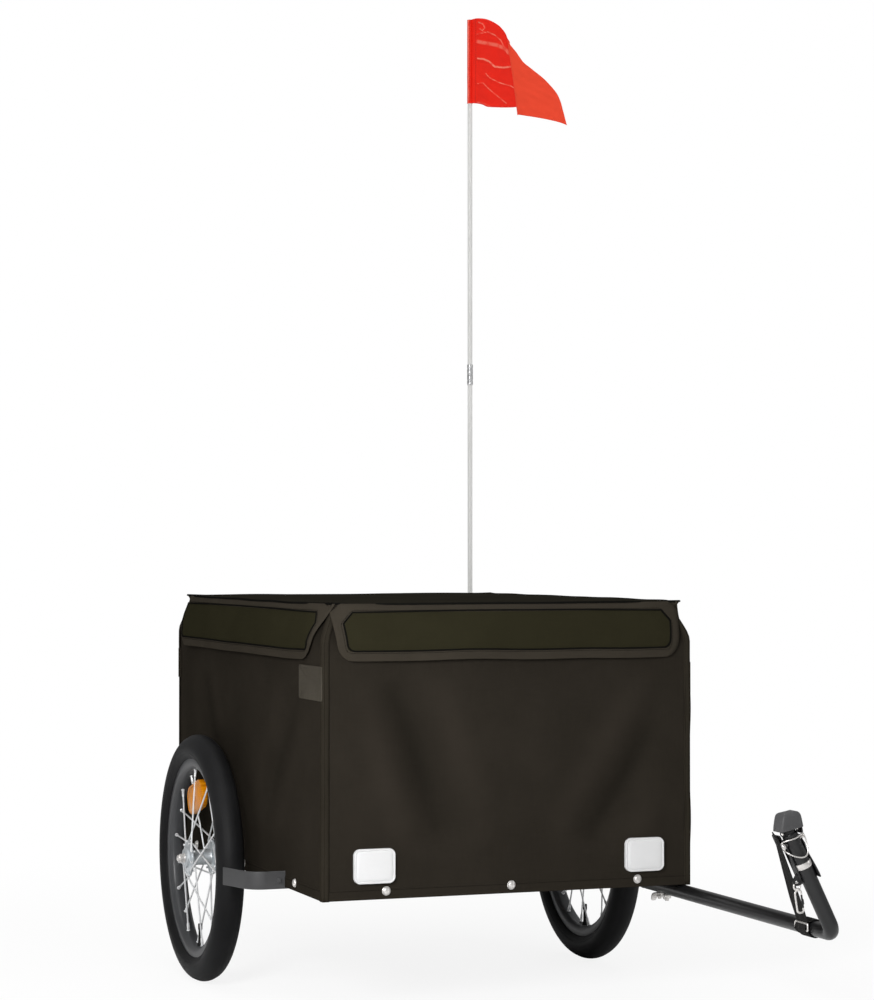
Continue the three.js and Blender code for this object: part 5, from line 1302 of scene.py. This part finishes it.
def add_bolts():
    """Both bolts through the drawbar: the pivot with its wing nut, the second with a plain one."""
    up = (0, 0, 1)
    for name, x, body in (("pivot", 313.0, "tub"), ("guide", 340.0, "drawbar")):
        head = turned_on([(0, 0), (4.5, 0), (4.5, 0.9), (3.8, 2.2), (2.2, 2.9), (0, 3.0)],
                         (x, bar_y, 189.9), up, 24)
        shank = rod((x, bar_y, 190.4), (x, bar_y, 154.6), 3.0, 20)
        washer = turned_on([(3, 0), (7.4, 0), (7.6, -0.3), (7.4, -0.9), (3, -0.9)], (x, bar_y, 164.1), up, 32)
        threads = [turned_on([(2.6, -0.35), (3.1, 0), (2.6, 0.35)], (x, bar_y, z), up, 20)
                   for z in np.arange(155.2, 158.6, 0.8)]
        patches = [head, shank, washer] + threads
        if name == "pivot":
            patches.append(turned_on([(0, 0), (6.4, 0), (6.4, 1.6), (5.4, 4.6), (4.4, 5.6), (0, 5.6)],
                                     (x, bar_y, 158.0), up, 24))
            outline = rounded(9.5, 12.5, 4.2, 6)
            outline[:, 0] += 0.16 * (outline[:, 1] + 6)
            for wing in (1, -1):
                plate = moved(layered(outline, soft_edges(3.0, 1.1)), None, (0, 0, -1.5))
                turn = np.stack([(0, wing, 0), (0, 0, -1), (-wing, 0, 0)], 1)
                patches.append(moved(plate, turn, (x, bar_y + wing * 8.6, 158.4)))
        else:
            height, chamfer = 4.6, 0.8
            slope = chamfer * 0.7
            nut = layered(hexagon(6.4, 5), [(chamfer, 0), (0, slope), (0, height - slope), (chamfer, height)])
            patches.append(moved(nut, None, (x, bar_y, 158.6)))
        make(f"{name}_bolt_set", patches, "bolt", body, [f"{name}_bolt"])


def add_channel():
    """The folded steel channel round the back of the tube, with the ear for the snap hook."""
    inside, outside, low, high, ahead, bent_from = 11.6, 13.8, 85.0, 148.0, 4.0, -8
    middle = (inside + outside) / 2
    corners = [(ahead, middle, 0), (-middle, middle, 0), (-middle, -middle, 0), (ahead, -middle, 0)]
    line = bends(corners, 4.5, 6)
    # the far cheek's front edge
    profile_z = (85, 90, 97, 107, 115, 123, 130, 135, 140, 148)
    profile_x = (9.6, 10.0, 8.8, 6.8, 4.2, 2.6, 4.6, 6.0, 3.6, 1.5)
    near = (line[:, 1] < -inside) & (line[:, 0] > bent_from)
    far = (line[:, 1] > inside) & (line[:, 0] > bent_from)
    rows = []
    for z in np.concatenate([np.linspace(low, low + 12, 8), np.linspace(low + 14, high - 4, 20),
                             np.linspace(high - 3, high, 4)]):
        ring = line.copy()
        foot = max(0.0, (low + 12 - z) / 12)
        ring[near, 0] = np.minimum(ring[near, 0], ahead - 9 * foot ** 2.2)
        reach = np.interp(z, profile_z, profile_x)
        ring[far, 0] = bent_from + (ring[far, 0] - bent_from) * (reach - bent_from) / (ahead - bent_from)
        ring[:, 2] = z - np.where(far, 4.5 * foot * np.clip(1 - ((ring[:, 0] - 2) / 9) ** 4, 0, 1), 0)
        rows.append(ring)
    rows = np.array(rows)
    uv = grid(lengths(line), rows[:, 0, 2] * 0.001)
    channel = make("hitch_channel", [(rows, uv)], "paint", "drawbar", ["coupler_channel"],
                   closed=False, outward=(-1, 0, 0), place=hitch_frame)
    solid = channel.modifiers.new("plate_thickness", "SOLIDIFY")
    solid.thickness, solid.offset = 0.0022, 0
    edge = channel.modifiers.new("plate_edges", "BEVEL")
    edge.width, edge.segments, edge.limit_method = 0.0006, 2, "ANGLE"
    corners = [(-11.5, 84.5), (-11.5, 103), (-22.6, 96.2), (-25.2, 91.8), (-24.2, 87.4), (-20, 85.2)]
    edge_line = bends([(y, z, 0) for y, z in corners], 2.0, 4, closed=True)[:-1, :2]
    ear = pierced(edge_line, (-19.8, 90.6), 2.5, 3.0)
    ear = moved(ear, np.array([(0, 0, 1), (1, 0, 0), (0, 1, 0)]))
    weld = [swept(smooth([(s * 1.9, -13.6, 86.5), (s * 2.1, -13.9, 93), (s * 1.9, -13.6, 100)], 4),
                  circle(1.1, 8), (1, 0, 0)) for s in (1, -1)]
    make("hook_ear", [ear] + weld, "paint", "drawbar", place=hitch_frame)


def add_pin():
    """The cross pin, held by a wire that goes round the front of the channel."""
    collar, height = -13.8 - 0.3, 143.5
    shank = turned_on([(0, 0), (3.0, 0), (3.0, 28.0), (3.0, 31.6), (2.2, 33.2), (0, 33.4)],
                      (0, collar, height), (0, 1, 0), 24)
    head = turned_on([(0, 0), (4.4, 0), (4.8, 0.5), (4.8, 3.4), (4.2, 4.2), (2.4, 4.6), (0, 4.7)],
                     (0, collar, height), (0, -1, 0), 28)
    eye = turned_on([(4.95, -0.9), (5.9, -0.6), (6.1, 0), (5.9, 0.6), (4.95, 0.9)],
                    (0, -17, height), (0, 1, 0), 24)
    make("lock_pin", [shank, head, eye], "bolt", "drawbar", ["hitch_pin"], place=hitch_frame)
    knots = [(0, -17, 138.2), (5, -18.6, 138.4), (11, -18.6, 136.6), (15, -15.4, 131.6), (16.4, -8.4, 125.2),
             (16.6, -0.6, 121.5), (16.2, 5.4, 123), (14.6, 9.8, 128.0), (12.0, 12.6, 134.0),
             (8.4, 15.4, 139.4), (3.6, 17.6, 143.6), (2.4, 17.9, 146.6), (6.0, 16.0, 149.4),
             (10.4, 10.6, 150), (12.8, 3.0, 149.4), (12.6, -4.6, 150.2), (9.4, -11.6, 151.2),
             (4.6, -16.2, 150.6), (0, -17, 148.8)]
    wire = swept(smooth(knots, 6), circle(0.95, 10), (0, 1, 0))
    make("pin_wire", [wire], "bolt", "pin_bail", ["pin_bail"], place=hitch_frame)


def add_joint():
    """The waisted rubber joint, with the bracket's hood, cheeks and rivets on it."""
    profile = [(0, 149), (8.2, 149), (9.6, 150.2), (10.4, 152.4), (10.5, 154.6), (9.3, 156.4), (10.2, 158.4),
               (10.6, 161), (10.3, 163.6), (9.4, 165.4), (9.8, 167.6), (8.8, 169.6), (6, 170.5), (0, 170.5)]
    joint = turned_on(profile, (0, 0, 0), (0, 0, 1), 40)
    make("rubber_joint", [joint], "joint", "flex_joint", ["elastomer_joint"],
         place=hitch_frame)

    tilt = about("x", -13.0)

    def hood_frame(places):
        return hitch_frame(places @ tilt.T + (0, 0, 162.4))

    def slanted(places):
        """Slopes the hood's near side inwards as it rises, and rounds its far shoulder."""
        y, z = places[..., 1], places[..., 2]
        near_share = np.clip((17 - y) / 34, 0, 1)
        rise = np.clip((z - 2) / 20, 0, 1.1)
        shaped = places.copy()
        shaped[..., 1] = y * 1.06 + 1.6 + near_share * 8.0 * rise
        shaped[..., 2] = z - 3.2 * np.clip((y - 6) / 11, 0, 1) ** 2 * ease(z - 6, 14)
        return hood_frame(shaped)

    shell = layered(rounded(28, 33.5, 4.0, 8), [
        (8, 2.2), (3.0, 2.2), (1.6, 1.2), (1.2, 0), (0.2, 0), (0, 0.5), (0, 6), (0, 12), (0.2, 17.5),
        (0.9, 20.2), (2.2, 21.9), (4.6, 22.9), (10, 23.2)])
    make("bracket_hood", [shell], "hood", "axle_bracket", ["axle_bracket"], angle=50,
         place=slanted)
    cheeks = []
    for y, ahead, back, drop in ((16.3, 11.5, -6.0, 9.0), (-12.8, 12.0, 3.0, 7.0)):
        cheek = layered(rounded(ahead - back, drop + 6, 3.4, 5), soft_edges(2.2, 0.6))
        cheeks.append(moved(cheek, on_edge, ((ahead + back) / 2, y - 1.1, -drop / 2 + 3)))
    bridge = rod((-4, -12.5, 3.0), (-4, 13.5, 3.0), 4.2, 20)
    make("bracket_cheeks", cheeks + [bridge], "joint", "axle_bracket", place=hood_frame)
    rivets = [turned_on([(0, 0), (1.7, 0), (1.7, 0.6), (1.1, 1.3), (0, 1.5)], start, (1, 0, 0), 16)
              for start in ((11.4, -14.6, -2.6), (8.8, 4.2, 0.2), (8.4, 10.6, -0.6))]
    make("bracket_rivets", rivets, "bolt", "axle_bracket", place=hood_frame)


def add_snap_hook():
    """The snap hook on the channel's ear, with its gate."""
    lug = on_hitch(0.0, -19.8, 90.0)
    hang = about("x", 9.0)

    def hung(places):
        return places @ hang.T + lug

    ring = [(0, 5.0 * math.sin(t), -5.0 + 5.0 * math.cos(t)) for t in np.linspace(0, 2 * math.pi, 33)]
    eye = swept(ring, circle(1.3, 12), (1, 0, 0), closed=True)
    top = -10.65
    foot = top - 31
    leg, gate_low = 4.7, foot + 6
    gate_high = gate_low + 18
    corners = [(0, leg, gate_high + 0.3), (0, leg, top), (0, -leg, top), (0, -leg, foot), (0, leg, foot),
               (0, leg, gate_low - 0.3)]
    wire = swept(bends(corners, 4.2, 8), circle(1.3, 12), (1, 0, 0))
    collar = turned_on([(0, 0), (2.6, 0), (3.0, 0.6), (3.0, 2.6), (2.4, 3.2), (0, 3.2)],
                       (0, 0, top - 0.2), (0, 0, 1), 24)
    gate = turned_on([(0, 0), (1.2, 0.1), (1.3, 1), (1.3, 17), (1.0, 18), (0, 18)],
                     (0, leg, gate_low), (0, 0, 1), 18)
    lever = layered(rounded(2.6, 8, 1.2, 3), soft_edges(1.4, 0.4))
    lever = moved(lever, facing((0, 1, 0)), (0, leg + 0.6, gate_low + 8))
    make("hook_wire", [eye, wire, collar], "bolt", "snap_hook", ["snap_hook"], place=hung)
    make("hook_gate", [gate, lever], "plug", "snap_gate", ["snap_gate"], place=hung)


def add_strap():
    """Safety strap from its anchor plate, past the pin and round the drawbar, with its wire loop."""
    half, gap, plate = 0.8, 0.3, 2.2
    beside = -(bar_radius + 0.5 + plate + gap + half)
    wrap, wrap_x = bar_radius + 0.7 + half, bend_x - 65.5

    def around(turn, radius):
        return np.array((wrap_x, bar_y + radius * math.cos(turn), bar_z + radius * math.sin(turn)))

    start, by_pin = on_hitch(-13, beside, 158), on_hitch(-18, beside, 133)
    by_loop = np.array((wrap_x, bar_y - 13.4, bar_z + 9.5))
    knots = [start, by_pin, by_pin + (by_loop - by_pin) * 0.33, by_pin + (by_loop - by_pin) * 0.67, by_loop,
             (wrap_x, bar_y - 13.2, bar_z + 3)]
    line = np.array(list(smooth(knots, 8)) + [around(t, wrap) for t in np.radians(np.linspace(186, 490, 44))])
    down = np.clip((lengths(line) * 1000 - 12) / 105, 0, 1)
    twist = np.radians(-17 * (1 - down))
    flat = np.column_stack([np.cos(twist), np.sin(twist), 0 * twist])
    band = rounded(30, 1.5, 0.7, 3)
    turns_back = [(128, 13.4), (141, 15.0), (158, 16.3), (176, 16.9), (190, 16.6), (203, 15.2), (216, 13.6)]
    fold_line = smooth([around(math.radians(turn), radius) for turn, radius in turns_back], 6)
    make("safety_webbing", [swept(line, band, flat), swept(fold_line, band, (1, 0, 0))], "strap", "drawbar",
         ["safety_strap"], angle=60)
    anchor = moved(layered(rounded(24, 17, 3, 4), soft_edges(1.7, 0.4)), on_edge, (-14.5, -14.0, 149.8))
    make("strap_anchor", [anchor], "paint", "drawbar", place=hitch_frame)

    reach, out, high, low = 18.2, bar_y - 14.6, bar_z + 7.5, bar_z - 2.6
    corners = [(wrap_x - reach, out, high), (wrap_x + reach, out, high), (wrap_x + reach, out, low),
               (wrap_x - reach, out, low)]
    loop = swept(bends(corners, 2.4, 6, closed=True), circle(1.3, 14), (0, 1, 0), closed=True)
    make("webbing_loop", [loop], "bolt", "drawbar", ["strap_loop"])


# ---------------------------------------------------------------- flag


# creases of the flag: half their width, the strength of their painted highlight and of their raised relief,
# then places along and down, in millimetres
flag_creases = (
    (1.3, 0.6, ((18, 29), (42, 28), (59, 36), (73, 47), (82, 61), (90, 74))),
    (3.6, 0.5, ((19, 43), (38, 48), (64, 55), (82, 63), (102, 80))),
    (1.8, 0.95, ((18, 74), (33, 77), (46, 83), (59, 94), (79, 98), (106, 99))),
    (1.1, 0.75, ((38, 104), (49, 114), (71, 125), (96, 133), (111, 142))),
    (1.2, 0.55, ((18, 120), (31, 120), (42, 130), (60, 145), (86, 164))),
    (1.3, 0.5, ((16, 154), (28, 156), (46, 164), (57, 172))),
    (1.4, 0.7, ((22, 8), (31, 12), (36, 20), (30, 24), (24, 20))),
)


def nearest_crease(along, down):
    """Distance to the nearest crease in half-widths, the strength of its painted highlight, and how far the
    cloth is raised there.
    """
    best, strength, lift = 6.0, 0.0, 0.0
    for half, shine, points in flag_creases:
        points = np.array(points, float)
        for a, b in zip(points[:-1], points[1:]):
            step = b - a
            share = np.clip(((along - a[0]) * step[0] + (down - a[1]) * step[1]) / (step @ step), 0, 1)
            away = math.hypot(along - a[0] - share * step[0], down - a[1] - share * step[1])
            if away / half < best:
                best, strength = away / half, shine
            lift = max(lift, bell(away, half + 1.5))
    return best, strength, lift


pole_x, pole_y = -front - 19, side - 40
pole_split, pole_top = 1024.0, 1678.0
flag_top = [(4.3, 0.2, 1678.2), (20, 1.4, 1678), (38, 0.4, 1674.5), (55, 0.8, 1666.8), (70, 1.8, 1657.3),
            (82, 2.4, 1644.3), (89, 3.2, 1632.5), (95, 4.6, 1626), (91.5, 6.4, 1630.5), (97.5, 8.2, 1621.5),
            (112, 8.2, 1604.6), (128, 7.4, 1584.4), (149.5, 6.2, 1567.3), (176.6, 4.6, 1545.6),
            (196.1, 3.2, 1525), (206.3, 2.2, 1508), (212.7, 1.4, 1487.6), (220.4, 0.6, 1461.4)]
flag_foot = [(4.3, 0.2, 1523.6), (17, -1, 1521.5), (30, 0.6, 1517.8), (42, 1.4, 1512.6), (60, -0.4, 1510),
             (78, 1, 1507.6), (96, 2.2, 1505.6), (117, 4, 1503), (114, 6.4, 1490.6), (120, 8.2, 1489),
             (134, 8.2, 1485.8), (150, 7.4, 1482.2), (168, 6.2, 1478), (184, 4.6, 1473.8), (197, 3.2, 1470),
             (206, 2.2, 1467), (214, 1.4, 1464), (220.4, 0.6, 1460.8)]


def add_poles():
    """Two poles joined by a ferrule, in a socket screwed to the rear wall."""
    up, foot, radius = (0, 0, 1), 205.3, 4.3
    lower = [(0, 0), (4.0, 0), (radius, 0.5), (radius, pole_split - 206), (4.0, pole_split - foot),
             (0, pole_split - foot)]
    make("lower_pole", [turned_on(lower, (pole_x, pole_y, foot), up, 24)], "pole", "flag_lower",
         ["flag_pole_lower"])
    half = [(4.9, 0.6), (5.3, 1.2), (5.3, 9), (4.8, 9.8), (4.8, 11.2), (5.3, 12), (5.3, 17.6), (5.0, 18.5),
            (4.1, 18.5)]
    ferrule = [(radius, -along) for radius, along in reversed(half)] + half
    make("pole_ferrule", [turned_on(ferrule, (pole_x, pole_y, pole_split), up, 32)], "ferrule", "flag_lower")
    height = pole_top - pole_split
    upper = [(0, 0), (radius, 0), (radius, height - 1.8), (3.2, height - 0.6), (1.6, height - 0.3),
             (0, height - 0.3)]
    make("upper_pole", [turned_on(upper, (pole_x, pole_y, pole_split + 0.3), up, 24)], "pole", "flag_upper",
         ["flag_pole_upper"])

    barrel = turned_on([(4.4, 0), (4.4, 70), (5.1, 70.2), (6.1, 69), (6.3, 67.5), (6.3, 4), (5.6, -3),
                        (4.4, -4), (0, -4), (0, 0)], (pole_x, pole_y, 205), up, 32)
    plate, web = (
        moved(layered(outline, soft_edges(depth, edge)), facing((-1, 0, 0)), (-front - gap, pole_y, z))
        for outline, depth, edge, gap, z in ((rounded(34, 66, 4, 4), 3.0, 0.9, 0.3, 238),
                                             (rounded(4.8, 62, 1.5, 2), 15.5, 0.8, 2, 237)))
    make("pole_socket", [barrel, plate, web], "plug", "tub", ["flag_socket"])
    screws = [turned_on([(0, 0), (4.0, 0), (4.0, 0.6), (3.0, 1.6), (1.2, 2.0), (0, 2.0)],
                        (-front - 3.3, pole_y + s * 11, 228.3), (-1, 0, 0), 22) for s in (1, -1)]
    make("socket_screws", screws, "bolt", "tub")


def add_flag():
    """The folded flag, hanging from its sleeve on the upper pole."""
    heading = math.radians(30.7)
    out = np.array((math.cos(heading), math.sin(heading), 0))
    ahead = np.array((math.sin(heading), -math.cos(heading), 0))
    high, low = smooth(flag_top, 8), smooth(flag_foot, 8)
    flat = lengths(high)
    creased = 0.118  # metres from the hoist
    shares = np.linspace(0, 1, 65)
    rows = np.empty((len(shares), len(high), 3))
    creases = np.empty((len(shares), len(high), 2))
    for r, share in enumerate(shares):
        line = high + (low - high) * share
        for c, (along, off, z) in enumerate(line):
            wave = 1.3 * ripple(along, z, 0.03, 5.0) + 0.6 * ripple(along + z, z, 0.07, 9.0)
            off = off + wave * min(along / 20, 1) * min((220.5 - along) / 30 + 0.2, 1)
            near, strength, lift = (nearest_crease(along, 1678.2 - z) if flat[c] < creased
                                    else (6.0, 0.0, 0.0))
            creases[r, c] = near, strength
            off += 0.8 * lift * strength
            rows[r, c] = np.array((pole_x, pole_y, z)) + out * along + ahead * off
    drop = (high[:, 2].max() - rows[..., 2]) * 0.001
    uv = np.stack([np.repeat(flat[None], len(shares), 0), drop], -1)
    cloth = make("flag_cloth", [(rows, uv, creases)], "flag", "flag_upper", ["flag"],
                 closed=False, outward=ahead)
    thicken(cloth, 0.5)
    sleeve_line = np.array([(pole_x, pole_y, z) for z in np.linspace(1523, 1677.4, 40)])
    swell = [1 + 0.05 * ripple(z, 0, 0.05, 2.0) for z in sleeve_line[:, 2]]
    rows, uv = swept(sleeve_line, circle(5.0, 28), out, scale=swell)
    outwards = rows - rows.mean(1, keepdims=True)
    outwards /= np.linalg.norm(outwards, axis=-1, keepdims=True) + 1e-9
    # painted highlight: a pale stripe of crease shine down the sleeve on its lit side
    lit_side = np.array((0.567, -0.823, 0))
    away = np.arccos(np.clip(outwards @ lit_side, -1, 1)) / 0.3
    sleeve = make("flag_sleeve", [(rows, uv, np.stack([away, np.full(away.shape, 0.7)], -1))], "flag",
                  "flag_upper")


add_camera()
add_stage()
add_upper_frame()
add_walls()
add_cover()
dress_frame()
add_hem_screws()
add_reflectors()
add_guards()
for wheel_name, wheel_side in sides:
    add_wheel(wheel_name, wheel_side)
add_drawbar()
add_bolts()
add_channel()
add_pin()
add_joint()
add_snap_hook()
add_strap()
add_poles()
add_flag()

bpy.context.view_layer.update()
